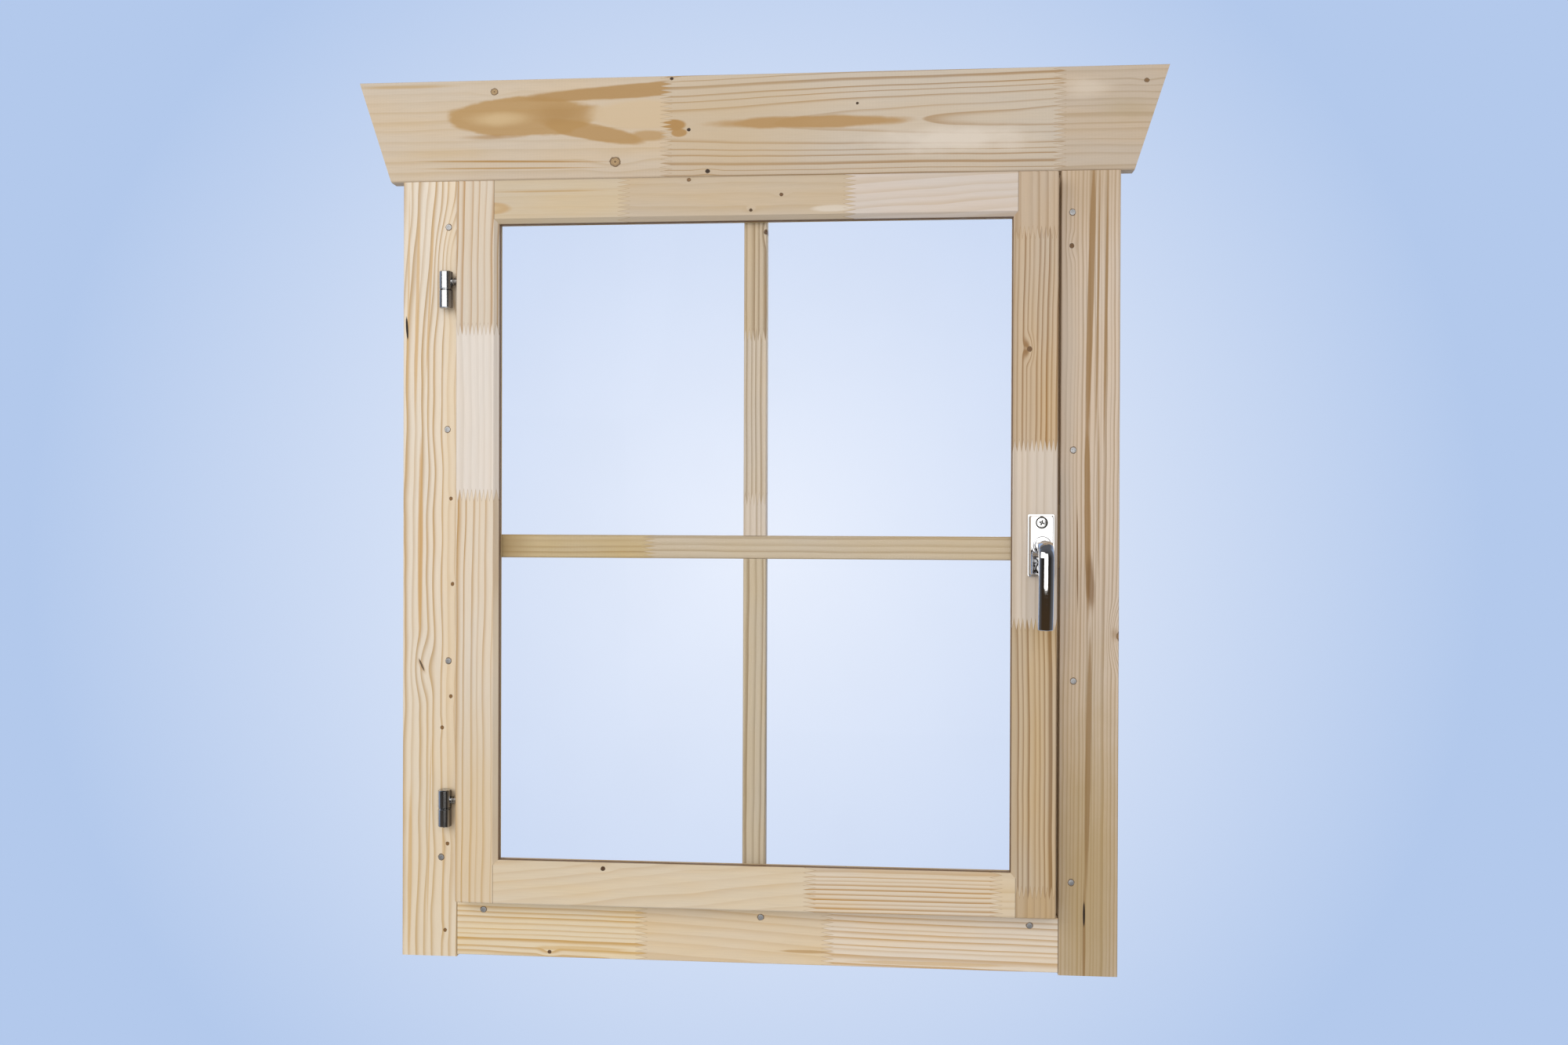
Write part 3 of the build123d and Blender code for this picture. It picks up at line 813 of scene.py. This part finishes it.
@dataclass
class Casing:
    """The fixed boards and jambs, and the screws that hold them."""

    front: float = -28.0
    back: float = 28.0
    jamb_face: float = -14.0
    middle: float = 373.0
    left_screws: Spots = ((-299.6, 680.5), (-300.5, 483.2), (-299.1, 257.1), (-305.9, 64.9))
    right_screws: Spots = ((300.3, 686.0), (302.0, 462.7), (303.0, 245.5), (301.7, 55.8))
    bottom_screws: Spots = ((-263.4, 14.8), (8.4, 14.8), (263.3, 14.1))
    rear_sides: Tuple[float, float] = (-295.0, 295.0)
    rear_heights: Tuple[float, ...] = (120.0, 373.0, 640.0)
    rear_thirds: Tuple[float, float] = (-150.0, 150.0)
    rear_levels: Tuple[float, float] = (728.0, 14.0)
    front_turn: float = 0.7
    rear_turn: float = 0.9

    def finishes(self) -> List[TimberFinish]:
        """List the finish of each fixed board and jamb."""
        return [self._header(), self._left(), self._right(), self._bottom(), *self._hidden()]

    def _header(self) -> TimberFinish:
        """The header: three lengths, a big brown flame and several knots."""
        lamellas = (
            Lamella(690, 30, 9, "c8b69f", "aa8c5b", wave=8, onset=0.4, strength=0.3),
            Lamella(775, 22.4, 5.3, "c4b5a2", "956e37", 0.008, -0.03, 3.6, onset=0.62, strength=0.8),
            Lamella(690, 40, 6.4, "bfad98", "94784f", wave=7, onset=0.5, strength=0.4),
        )
        knots = (
            Knot(-254.5, 811.5, 3.5, "b1946c", "634a31", 1.2),
            Knot(-135.2, 741.4, 4.9, "b1946c", "634a31", 1),
            Knot(-63.5, 770.8, 1.7, "3d2b1e", "2c1f16", 0.6),
            Knot(-45.2, 730.7, 2.1, "3d2b1e", "2c1f16", 0.6),
            Knot(-80.3, 820.1, 1.6, "3d2b1e", "2c1f16", 0.6),
            Knot(98.1, 792.6, 1.3, "4c3826", "382a1d", 0.6),
            Knot(368.2, 808.2, 2.2, "8b6b48", "55402b", 0.8),
        )
        stains = (
            Stain(-225, 786.5, 80, 20.5, "ae884f", 0.85, 0.45, 0.15, part=0),
            Stain(-85, 811, 165, 8, "a9834d", 0.9, 0.3, 0.25, 0.05, 0),
            Stain(-160, 771, 54, 9.5, "ac864f", 0.88, 0.5, 0.25, -0.2, 0),
            Stain(-102, 766, 24, 6.5, "b08b56", 0.8, 0.5, 0.5, part=0),
            Stain(-106, 786.5, 66, 17, "c9b292", 0.94, 0.3, 0.35, part=0),
            Stain(-190, 789, 38, 15, "a27b43", 0.55, 0.5, 0.9, part=0),
            Stain(-250, 785, 44, 10, "cbb086", 0.75, 0.5, 0.9, part=0),
            Stain(-258, 767.5, 40, 3.4, "a1783d", 0.6, 0.4, 0.8, part=0),
            Stain(-240, 743.5, 118, 1.2, "a87f42", 0.9, 0.2, 0.6, -0.02, 0),
            Stain(-240, 737, 112, 1, "ab8448", 0.85, 0.2, 0.6, -0.01, 0),
            Stain(-345, 818, 70, 2.6, "b4925a", 0.6, 0.4, 0.8, part=0),
            Stain(-300, 752, 70, 9, "c4a87c", 0.35, 0.5, 0.9, part=0),
            Stain(-30, 775, 140, 90, "c2a578", 0.4, 0.3, 0.9, part=1),
            Stain(-78, 775.5, 14, 6.5, "a98046", 0.95, 0.35, 0.3, part=1),
            Stain(-73, 768, 9, 4.5, "aa8249", 0.9, 0.35, 0.3, part=1),
            Stain(52, 776, 112, 7, "ab834a", 0.85, 0.55, 0.4, part=1),
            # A pale pinkish-white patch, partly paler wood and partly painted sheen.
            Stain(190, 757, 105, 17, "d9cdbf", 0.75, 0.8, 0.8, part=1),
            Stain(312, 803, 34, 14, "d4c6b5", 0.6, 0.7, 0.9, part=2),
            Stain(350, 782, 42, 16, "b09a76", 0.4, 0.6, 0.9, part=2),
        )
        return TimberFinish(
            "header_board", Run.LEVEL, self.front, lamellas, joints=(-85.5, 288.3), knots=knots,
            stains=stains, seed=3, ripple=0.008,
        )

    def _left(self) -> TimberFinish:
        """The left board: one length with wavy grain, a resin slit and knots."""
        pins = ((415.8, -296.9), (332.3, -295.2), (222.6, -296.7))
        pins += ((191.8, -305.3), (78.2, -299.6), (-6.5, -301.9))
        knots = (
            Knot(251.4, -325.8, 5, push=-1.2, shown=False),
            Knot(770, -300, 30, push=0.4, shown=False),
            Knot(645, -292, 8, push=-1.6, shown=False),
            *[Knot(along, across, 1.8, "8f6a3e", "5f4127", 0.6) for along, across in pins],
            # Rings of painted shade round the board's screw heads.
            *screw_shade_rings([(z, x) for x, z in self.left_screws]),
        )
        stains = (
            Stain(400, -297, 430, 9.5, "e0cdb0", 0.65, 0.3, 0.5),
            Stain(375, -327.5, 112, 3, "c89f66", 0.8, 0.3, 0.4, 0.006),
            Stain(600, -331, 125, 2.4, "caa46d", 0.7, 0.35, 0.5, 0.02),
            Stain(620, -318, 110, 1.6, "caa46d", 0.7, 0.35, 0.6, 0.05),
            Stain(600, -340, 150, 1.5, "cca873", 0.6, 0.35, 0.6, 0.01),
            Stain(50, -337.5, 105, 2.6, "c79f64", 0.8, 0.3, 0.5, 0.01),
            Stain(90, -318, 125, 1, "c69c60", 0.7, 0.3, 0.6, 0.02),
            Stain(40, -304, 75, 1.3, "c69c60", 0.6, 0.4, 0.6, -0.01),
            Stain(252, -326, 10, 3.6, "b58a56", 0.55, 0.6, 0.7, -0.45),
            Stain(252.5, -325.8, 7, 1.3, "3f2b1a", 1, 0.4, 0.4, -0.45),
            Stain(582, -341.2, 13, 1.4, "231a12", 1, 0.3, 0.3, -0.06),
            Stain(40, -317, 330, 70, "e0c79c", 0.35, 0.3, 0.9),
        )
        return TimberFinish(
            "left_casing", Run.UPRIGHT, self.front,
            (Lamella(-235, 30, 6.6, "e0d2bf", "b38e58", 0.003, wave=14, onset=0.3, strength=0.9),),
            knots=knots, stains=stains, seed=11,
        )

    def _right(self) -> TimberFinish:
        """The right board: close straight rings, a brown streak and a bark slit."""
        knots = (
            Knot(654.5, 299.7, 2.2, "7c5c3b", "4f3925", 1.2),
            Knot(288, 347.5, 5, "a3825b", "7a5b3a", 2.6),
            # Rings of painted shade round the board's screw heads.
            *screw_shade_rings([(z, x) for x, z in self.right_screws]),
        )
        stains = (
            Stain(40, 317, 330, 70, "a58952", 0.68, 0.3, 0.95),
            Stain(740, 317, 120, 60, "ad9068", 0.45, 0.3, 0.9),
            # A pale strip beside the sash, partly paler wood and partly painted light that lifts the sash's
            # shadow off the board.
            Stain(540, 298, 150, 13, "cbbcab", 0.6, 0.3, 0.8),
            Stain(610, 317.5, 165, 3.5, "94703f", 0.85, 0.25, 0.35, 0.02),
            Stain(400, 315.5, 110, 3.5, "94703f", 0.85, 0.3, 0.35, -0.01),
            Stain(338, 318.5, 34, 5.2, "825f36", 0.75, 0.45, 0.6, -0.05),
            Stain(170, 317, 145, 3.2, "907044", 0.8, 0.25, 0.4, 0.012),
            Stain(0, 313.8, 70, 1.8, "8a673a", 0.7, 0.3, 0.6),
            Stain(600, 324.2, 160, 1.4, "957344", 0.8, 0.25, 0.5, 0.012),
            Stain(600, 331.8, 160, 1.8, "957344", 0.8, 0.25, 0.5, 0.012),
            Stain(420, 325.5, 95, 1.2, "967547", 0.7, 0.25, 0.5),
            Stain(360, 306.3, 62, 0.9, "7f5c31", 0.85, 0.25, 0.5, -0.01),
            Stain(290, 341, 10, 6, "94734a", 0.5, 0.9, 0.9),
            Stain(26, 313.8, 14, 1.2, "2d2016", 1, 0.3, 0.4),
        )
        return TimberFinish(
            "right_casing", Run.UPRIGHT, self.front,
            (Lamella(200, 40, 3.5, "cfbca8", "8e7049", 0.004, wave=5, strength=0.6),), knots=knots,
            stains=stains, seed=23,
        )

    def _bottom(self) -> TimberFinish:
        """The bottom board between the side boards."""
        lamellas = (
            Lamella(-34, 12, 5.2, "e0cdad", "c39957", lean=-0.004, taper=0.02, wave=5),
            Lamella(-38, 15, 8.5, "dac5a6", "c29f6e", lean=-0.06, wave=5, strength=0.6),
            Lamella(-52, 26, 4.8, "dfcfba", "be9865", lean=-0.015, wave=3, strength=0.9),
        )
        knots = (
            Knot(-197.8, -24.8, 1.8, "6d4d31", "46311f", 1.4),
            # Rings of painted shade round the board's screw heads.
            *screw_shade_rings(self.bottom_screws),
        )
        stains = (
            Stain(52, -17, 30, 1.8, "bb9766", 0.85, 0.5),
            Stain(-170, -21, 55, 3.2, "cfab70", 0.6, 0.8),
            Stain(170, -25, 90, 2.2, "c9a46c", 0.55, 0.7),
        )
        return TimberFinish(
            "bottom_casing", Run.LEVEL, self.front, lamellas, joints=(-107.4, 72.4), knots=knots,
            # Painted shade lines where the board meets the side boards.
            stains=stains, ends=(-290, 290), seed=31,
        )

    def _hidden(self) -> List[TimberFinish]:
        """Jambs and rear boards, which the front view hides."""
        table = (
            ("left_jamb", Run.UPRIGHT, -250),
            ("right_jamb", Run.UPRIGHT, 330),
            ("sill_jamb", Run.LEVEL, -20),
            ("head_jamb", Run.LEVEL, 780),
            ("rear_left_casing", Run.UPRIGHT, -300),
            ("rear_right_casing", Run.UPRIGHT, 350),
            ("rear_top_casing", Run.LEVEL, 745),
            ("rear_bottom_casing", Run.LEVEL, -40),
        )
        first_joint, joint_step, knot_ahead, knot_aside = -120, 37, 150, 18
        plain = []
        for index, (node, run, pith) in enumerate(table):
            joint = (self.middle if run is Run.UPRIGHT else 0) + first_joint + joint_step * index
            first = Lamella(pith, 16 + 3 * index, 5.4, "ddccb1", "c59f6c", lean=0.012, wave=9, strength=0.8)
            second = Lamella(pith - 25, 34, 4.6, "d9c7a9", "c29a66", lean=-0.01, wave=6, strength=0.75)
            knots = (Knot(joint + knot_ahead, pith + knot_aside, 5),)
            seed = 50 + 7 * index
            plain.append(TimberFinish(node, run, self.jamb_face, (first, second), (joint,), knots, seed=seed))
        return plain

    def screws(self, zinc: Material) -> None:
        """Set the boards' small zinc screws, front and back."""
        head = ScrewHead(2.6 * MM, 0.5 * MM, 3.4 * MM, 1.0 * MM, 0.45 * MM, dome=0.12).build("casing_screw")
        front = self.left_screws + self.right_screws + self.bottom_screws
        rear = [(x, z) for x in self.rear_sides for z in self.rear_heights]
        rear += [(x, z) for z in self.rear_levels for x in self.rear_thirds]
        for index, (x, z) in enumerate(front):
            piece = copy_at(head, f"casing_screw_{index:02d}", (x, self.front, z), self.front_turn * index)
            hand_over(piece, "frame", zinc)
        for index, (x, z) in enumerate(rear):
            turn = self.rear_turn * index
            piece = copy_at(head, f"rear_screw_{index:02d}", (x, self.back, z), turn, flip=True)
            hand_over(piece, "frame", zinc)
        bpy.data.objects.remove(head, do_unlink=True)


@dataclass
class Sash:
    """The hinged glazed frame: stiles, rails, beads, muntins and pane."""

    front: float = -49.5
    rear_glass: float = -37.5

    def finishes(self) -> List[TimberFinish]:
        """List the finish of each stile, rail, muntin and bead."""
        return [*self._stiles(), *self._rails(), *self._muntins(), *self._beads()]

    def _stiles(self) -> List[TimberFinish]:
        """The two through uprights, each of several lengths."""
        lamellas = (
            Lamella(-215, 24, 6.2, "dbcbb6", "b1884e", lean=0.006, wave=6, onset=0.4, strength=0.9),
            Lamella(-330, 70, 4.6, "ddd2c7", "b9a892", wave=4, strength=0.3),
            Lamella(-330, 34, 6, "d2c3b0", "a97f4a", lean=0.008, wave=7, onset=0.4, strength=0.9),
        )
        left = TimberFinish(
            "left_stile", Run.UPRIGHT, self.front, lamellas, joints=(418.7, 577.9),
            stains=(Stain(90, -265, 220, 60, "cfb283", 0.4, 0.3, 0.9),), seed=71,
        )
        lamellas = (
            Lamella(210, 90, 3.4, "bea27c", "9b7b51", strength=0.5, wave=2),
            Lamella(196, 26, 5, "c4ac8b", "876335", lean=-0.006, wave=4),
            Lamella(340, 60, 6, "d1c2b2", "b3a089", wave=4, strength=0.55),
            Lamella(338, 26, 4.3, "c3ac90", "8c673c", lean=0.008, wave=6),
            Lamella(215, 60, 5, "c0aa91", "9b7e5e", wave=3, strength=0.7),
        )
        right = TimberFinish(
            "right_stile", Run.UPRIGHT, self.front, lamellas, joints=(51.5, 300, 466, 662.8),
            knots=(Knot(555.1, 258.8, 2.3, "7d5b38", "553c25", 2.2),), seed=83,
        )
        return [left, right]

    def _rails(self) -> List[TimberFinish]:
        """The top and bottom rails between the stiles."""
        # Painted shade lines where the rails meet the stiles.
        ends = (-248, 248)
        lamellas = (
            Lamella(600, 45, 7.5, "c6b499", "b18f5e", wave=5, strength=0.15),
            Lamella(672, 20, 9, "c1ae95", "aa8e64", lean=-0.02, wave=12, strength=0.35),
            Lamella(735, 30, 7, "cbbfb5", "b6a084", lean=0.05, wave=14, strength=0.45),
        )
        knots = (
            Knot(27.7, 701.7, 1.7, "7a5836", "4c3722", 2),
            Knot(-1.1, 687.5, 1.5, "5e4329", "3a2a1b", 2),
            Knot(-60, 717, 1.8, "8d6b45", "5c432a", 1.6),
        )
        stains = (
            Stain(75, 688, 22, 4, "dacfc1", 0.6, 0.8),
            Stain(-254, 693, 27, 7, "b89055", 0.6, 0.25, 0.3, part=0),
            Stain(-258, 693, 22, 4.4, "c7b08a", 0.7, 0.25, 0.6, part=0),
            Stain(-195, 708.5, 70, 1.3, "b08a50", 0.6, 0.3, 0.7, part=0),
        )
        top = TimberFinish(
            "top_rail", Run.LEVEL, self.front, lamellas, joints=(-122.2, 91.7), knots=knots, stains=stains,
            ends=ends, seed=97,
        )
        lamellas = (
            Lamella(-20, 30, 9.5, "d6c4a9", "c1a176", lean=0.13, wave=14, strength=0.4),
            Lamella(120, 20, 4.2, "d8c7b0", "b28850", lean=0.004, wave=2.5),
            Lamella(80, 60, 4.4, "d6c2a5", "be9f6f", wave=3, strength=0.5),
        )
        bottom = TimberFinish(
            "bottom_rail", Run.LEVEL, self.front, lamellas, joints=(56.5, 230),
            knots=(Knot(-140.5, 63.4, 2.1, "5b3f27", "3d2a1b", 1.6),), ends=ends, seed=101,
        )
        return [top, bottom]

    def _muntins(self) -> List[TimberFinish]:
        """The cross bars, slightly greyed by the pane before them."""
        lamellas = (
            Lamella(330, 25, 4.8, "c1ab83", "9e7f4c", wave=4, strength=0.6),
            Lamella(420, 40, 5.2, "c4b399", "a28a66", wave=3, strength=0.65),
        )
        level = TimberFinish(
            "horizontal_muntin", Run.LEVEL, self.rear_glass, lamellas, joints=(-98.9,),
            stains=(Stain(-248, 370, 45, 40, "9c8051", 0.75, 0.3, 0.9),), seed=113, finger_pitch=3.4,
            ripple=0.012,
        )
        lamellas = (
            Lamella(40, 30, 4.4, "cdbfaf", "9c8668", wave=3, strength=0.7),
            Lamella(48, 24, 4.6, "c9b9a4", "957c5a", wave=3, strength=0.8),
            Lamella(-30, 22, 4.8, "c2af94", "8a6f4b", wave=4, strength=0.85),
        )
        upper = TimberFinish(
            "vertical_muntin_upper", Run.UPRIGHT, self.rear_glass, lamellas, joints=(416.4, 572),
            knots=(Knot(669.3, 12.4, 2.2, "6f5137", "463223", 1.2),), seed=127, finger_pitch=3.4,
        )
        lower = TimberFinish(
            "vertical_muntin_lower", Run.UPRIGHT, self.rear_glass,
            (Lamella(-35, 28, 4.6, "c3b297", "8a714d", lean=0.01, wave=4, strength=0.85),), seed=131,
        )
        return [level, upper, lower]

    def _beads(self) -> List[TimberFinish]:
        """Rear glazing beads."""
        table = (
            ("bead_left", Run.UPRIGHT, -300),
            ("bead_right", Run.UPRIGHT, 300),
            ("bead_top", Run.LEVEL, 720),
            ("bead_bottom", Run.LEVEL, 20),
        )
        beads = []
        for index, (node, run, pith) in enumerate(table):
            lamella = Lamella(pith, 30, 4.2, "c9ae84", "a98550", wave=3, strength=0.7)
            beads.append(TimberFinish(node, run, self.rear_glass, (lamella,), seed=140 + 5 * index))
        return beads

    def glaze(self, pane: Material, sealant: Material) -> None:
        """Dress the pane and the sealant line round it."""
        dress("glass_pane", pane)
        dress("glazing_seal", sealant)


@dataclass
class Hinges:
    """Drill-in hinges: bright barrels, wear rings and threaded stubs."""

    axis_x: float = -299.4
    axis_y: float = -36.0
    radius: float = 6.5
    splits: Tuple[float, ...] = (618.0, 115.0)
    pin_up: float = 7.8
    pin_radius: float = 3.5
    stub: Tuple[float, float] = (-292.6, -285.2)
    ring_inset: float = 0.35
    ring_hole: float = 3.2
    ring_thick: float = 0.5
    thread_turns: int = 4
    thread_sides: int = 40
    thread_skin: float = 0.05
    crest: float = 1.14
    crest_sharp: float = 25.0

    def build(self, zinc: Material) -> None:
        """Dress the barrels, add a wear ring between them and threads on the stubs."""
        # The zinc given here has painted reflection stripes in its colour.
        for place in ("upper", "lower"):
            for half in ("frame", "sash"):
                dress(f"{place}_hinge_{half}", zinc)
        outer = self.radius - self.ring_inset
        upright = (0.0, 0.0, 0.0)
        for index, split in enumerate(self.splits):
            place = (self.axis_x, self.axis_y, split)
            ring = washer(f"hinge_ring_{index}", place, outer, self.ring_hole, self.ring_thick, upright)
            hand_over(ring, "frame", zinc)
            thread = self._thread(f"hinge_thread_{index}", split + self.pin_up)
            hand_over(thread, "sash", zinc)

    def _thread(self, name: str, height: float) -> Piece:
        """Model the thread crests on the stub between knuckle and sash."""
        start, end = self.stub
        steps = 2 * self.thread_turns
        cuts = [(start + step * (end - start) / steps) * MM for step in range(1, steps)]
        radius = (self.pin_radius + self.thread_skin) * MM
        middle = ((start + end) / 2 * MM, self.axis_y * MM, height * MM)
        thread = cylinder(name, self.thread_sides, radius, (end - start) * MM, middle, FACING_X)
        for at in cuts:
            edit(thread)
            mode("EDIT")
            bpy.ops.mesh.select_all(action="SELECT")
            bpy.ops.mesh.bisect(plane_co=(at, 0.0, 0.0), plane_no=(1.0, 0.0, 0.0))
            mode("OBJECT")
        axis = (0.0, self.axis_y * MM, height * MM)
        for at in cuts[::2]:
            edit(thread, "VERT")
            for vertex in thread.data.vertices:
                vertex.select = abs(vertex.co.x - at) < self.thread_skin * MM
            mode("EDIT")
            bpy.ops.transform.resize(value=(1.0, self.crest, self.crest), center_override=axis)
            mode("OBJECT")
        smooth(thread, self.crest_sharp)
        return thread


@dataclass
class Handle:
    """The bright lever, its rosette and the rosette's screws."""

    x: float = 269.5
    z: float = 373.5
    seat: float = -55.6
    spread: float = 21.0
    # Size of the black discs of painted shade under the rosette screws.
    shade_disc_thick: float = 0.4
    shade_disc_radius: float = 6.2
    shade_disc_hole: float = 0.3
    first_turn: float = 0.35
    turn_step: float = 0.6

    def build(self, chrome: Material, zinc: Material, dark: Material) -> None:
        """Dress the handle and latch gear, and set the two rosette screws on black discs of painted shade in
        their recesses.
        """
        for node in ("handle_rosette", "handle_lever"):
            dress(node, chrome)
        for node in ("latch_faceplate", "strike_plate"):
            dress(node, zinc)
        head = ScrewHead(4.3 * MM, 1.4 * MM, 5.2 * MM, 1.5 * MM, 1.3 * MM, dome=0.08).build("rosette_screw")
        size = (self.shade_disc_radius, self.shade_disc_hole, self.shade_disc_thick)
        for index, side in enumerate((1, -1)):
            height = self.z + side * self.spread
            turn = self.first_turn + self.turn_step * index
            piece = copy_at(head, f"rosette_screw_{index}", (self.x, self.seat, height), turn)
            hand_over(piece, "sash", zinc)
            # A black disc of painted shade fills the recess round each screw head.
            place = (self.x, self.seat - self.shade_disc_thick / 2, height)
            hand_over(washer(f"painted_shade_disc_{index}", place, *size, FACING_Y), "sash", dark)
        bpy.data.objects.remove(head, do_unlink=True)


@dataclass
class Studio:
    """Backdrop, lamps and camera."""

    camera_place: Place = (126.503, -1246.487, 399.819)
    focal_px: float = 1629.657
    yaw: float = 0.0794
    pitch: float = -0.00507
    roll: float = 0.00344
    image_width: float = 2000.0
    sensor: float = 36.0
    nearest: float = 0.02
    floor_z: float = -500.0
    floor_radius: float = 1000.0
    floor_sides: int = 96
    floor_solid: float = 0.62
    glow_way: Place = (-0.0944, 0.9953, -0.02)
    glow_reach: float = 0.57
    fill_tone: Colour = (0.98, 0.99, 1.0, 1.0)
    fill_strength: float = 0.5
    lamp_tone: Place = (1.0, 0.985, 0.96)

    GLOW_TONES = ("ecf2fe", "b3c9ec")
    GLOW_EDGE = 0.05
    # The mirrored room: tones of its floor, far dark, ceiling and side walls, and where each begins and ends.
    ROOM_TONES = ("453626", "2e2b28", "55565a", "63656a")
    FLOOR_BAND = (-0.3, -0.1)
    CEILING_BAND = (0.05, 0.9)
    WALL_BAND = (-0.8, -0.3)
    BEFORE_BAND = (-0.25, 0.1)
    ABOVE_BAND = (0.4, 0.85)
    FLOOR_TONE = "dfe8f7"

    def build(self) -> None:
        """Set up the whole stage."""
        bpy.context.scene.view_settings.view_transform = "Standard"
        self._camera()
        self._world()
        self._floor()
        self._lamps()

    def _camera(self) -> None:
        """Place the camera where the photograph was taken from."""
        data = bpy.data.cameras.new("photo_camera")
        data.sensor_fit = "HORIZONTAL"
        data.sensor_width = self.sensor
        data.lens = self.focal_px / self.image_width * data.sensor_width
        data.clip_start = self.nearest
        camera = bpy.data.objects.new("photo_camera", data)
        bpy.context.scene.collection.objects.link(camera)
        place = Matrix.Translation(Vector(self.camera_place) * MM)
        for angle, axis in ((self.yaw, "Z"), (math.pi / 2 + self.pitch, "X"), (self.roll, "Z")):
            place = place @ Matrix.Rotation(angle, 4, axis)
        camera.matrix_world = place
        bpy.context.scene.camera = camera

    def _world(self) -> None:
        """Soft even light, a pale blue glow all round, and a dark room that metal mirrors before it."""
        world = bpy.data.worlds.new("studio")
        bpy.context.scene.world = world
        g = blank(world)
        way = g.add("ShaderNodeVectorMath", operation="DOT_PRODUCT")
        toward = g.most(g.fill(way, (g.spot("Generated"), self.glow_way)).outputs["Value"], self.GLOW_EDGE)
        slope = g.math("SQRT", g.most(g.minus(g.math("POWER", toward, -2.0), 1.0), 0.0))
        inner, outer = map(tone, self.GLOW_TONES)
        glow = g.blend(g.math("DIVIDE", slope, self.glow_reach, clamp=True), inner, outer)
        seen = g.add("ShaderNodeLightPath").outputs
        way_to = g.split(g.spot("Generated"))
        ground, far, ceiling, side = map(tone, self.ROOM_TONES)
        low = g.blend(g.ease(way_to["Z"], *self.FLOOR_BAND), ground, far)
        room = g.blend(g.ease(way_to["Z"], *self.CEILING_BAND), low, ceiling)
        walls = g.blend(g.ease(way_to["Y"], *self.WALL_BAND), room, side)
        before = g.fade(way_to["Y"], *self.BEFORE_BAND)
        above = g.ease(way_to["Z"], *self.ABOVE_BAND)
        mirrored = g.times(seen["Is Glossy Ray"], g.minus(1.0, seen["Is Transmission Ray"]))
        dim = g.times(mirrored, g.most(before, above))
        backdrop = g.wire("ShaderNodeBackground", {"Color": g.blend(dim, glow, walls)})
        through = g.most(seen["Is Camera Ray"], seen["Is Transmission Ray"])
        direct = g.most(through, seen["Is Glossy Ray"])
        fill = g.wire("ShaderNodeBackground", {"Color": self.fill_tone, "Strength": self.fill_strength})
        g.show(g.choose(direct, fill, backdrop), "ShaderNodeOutputWorld")

    def _floor(self) -> None:
        """Lay a plain pale floor below the window."""
        rim = self.floor_radius * MM
        middle = (0.0, 0.0, self.floor_z * MM)
        bpy.ops.mesh.primitive_circle_add(
            vertices=self.floor_sides, radius=rim, fill_type="NGON", location=middle
        )
        floor = bpy.context.object
        floor.name = "studio_floor"
        settle(floor)
        material = bpy.data.materials.new("pale_floor")
        g = blank(material)
        reach = g.fill(g.add("ShaderNodeVectorMath", operation="LENGTH"), [g.spot()]).outputs["Value"]
        pale = g.wire("ShaderNodeBsdfDiffuse", {"Color": tone(self.FLOOR_TONE)})
        clear = g.add("ShaderNodeBsdfTransparent")
        g.show(g.choose(g.ease(reach, self.floor_solid * rim, rim), pale, clear))
        floor.data.materials.append(material)

    def _lamps(self) -> None:
        """Hang a key softbox to the left, a front softbox above the camera and one behind."""
        table = (
            ("key_softbox", (-1.5, -2.3, 1.6), (-0.05, -0.03, 0.38), 2.4, 1.9, 29.0),
            ("front_softbox", (0.2, -2.6, 0.85), (0.2, -0.03, 0.7), 1.7, 2.2, 28.0),
            ("rear_softbox", (0.5, 2.6, 1.3), (0.0, 0.03, 0.38), 2.0, 1.6, 22.0),
        )
        for name, place, target, width, height, power in table:
            data = bpy.data.lights.new(name, "AREA")
            data.shape = "RECTANGLE"
            data.size = width
            data.size_y = height
            data.energy = power
            data.color = self.lamp_tone
            lamp = bpy.data.objects.new(name, data)
            lamp.visible_transmission = False
            bpy.context.scene.collection.objects.link(lamp)
            aim = Vector(target) - Vector(place)
            turn = aim.to_track_quat("-Z", "Y").to_matrix().to_4x4()
            lamp.matrix_world = Matrix.Translation(Vector(place)) @ turn


def main() -> None:
    """Build and dress each part of the window, then the studio."""
    logging.basicConfig(level=logging.INFO, format="%(message)s")
    groups = TimberGroups()
    zinc = MetalFinish("bright_zinc", "d3d4d6", 0.1, 0.16, 0.16, relief=0.03).material()
    chrome = MetalFinish("polished_chrome", "dededf", 0.03, 0.03, 0.04, (120.0, 120.0, 120.0), 0.0).material()
    # The hinges' zinc: noise stretched along Z paints dark and bright vertical reflection stripes into its
    # colour.
    painted_reflection_stripes = MetalFinish("painted_reflection_stripes_zinc", "dedfe1", 0.14, 0.16, 0.75, (1900.0, 1900.0, 45.0), 0.03).material()
    dull = MetalFinish("dull_zinc", "cccdcf", 0.45, 0.2, 0.25).material()
    # Near-black metal for the discs of painted shade in the rosette's screw recesses.
    dark = MetalFinish("painted_shade_black", "26241f", 0.3, 0.2, 0.3).material()
    casing = Casing()
    sash = Sash()
    for finish in casing.finishes() + sash.finishes():
        dress(finish.node, finish.material(groups))
    casing.screws(dull)
    sash.glaze(PaneFinish().material(), SealFinish().material())
    Hinges().build(painted_reflection_stripes)
    Handle().build(chrome, zinc, dark)
    Studio().build()


if __name__ == "__main__":
    main()
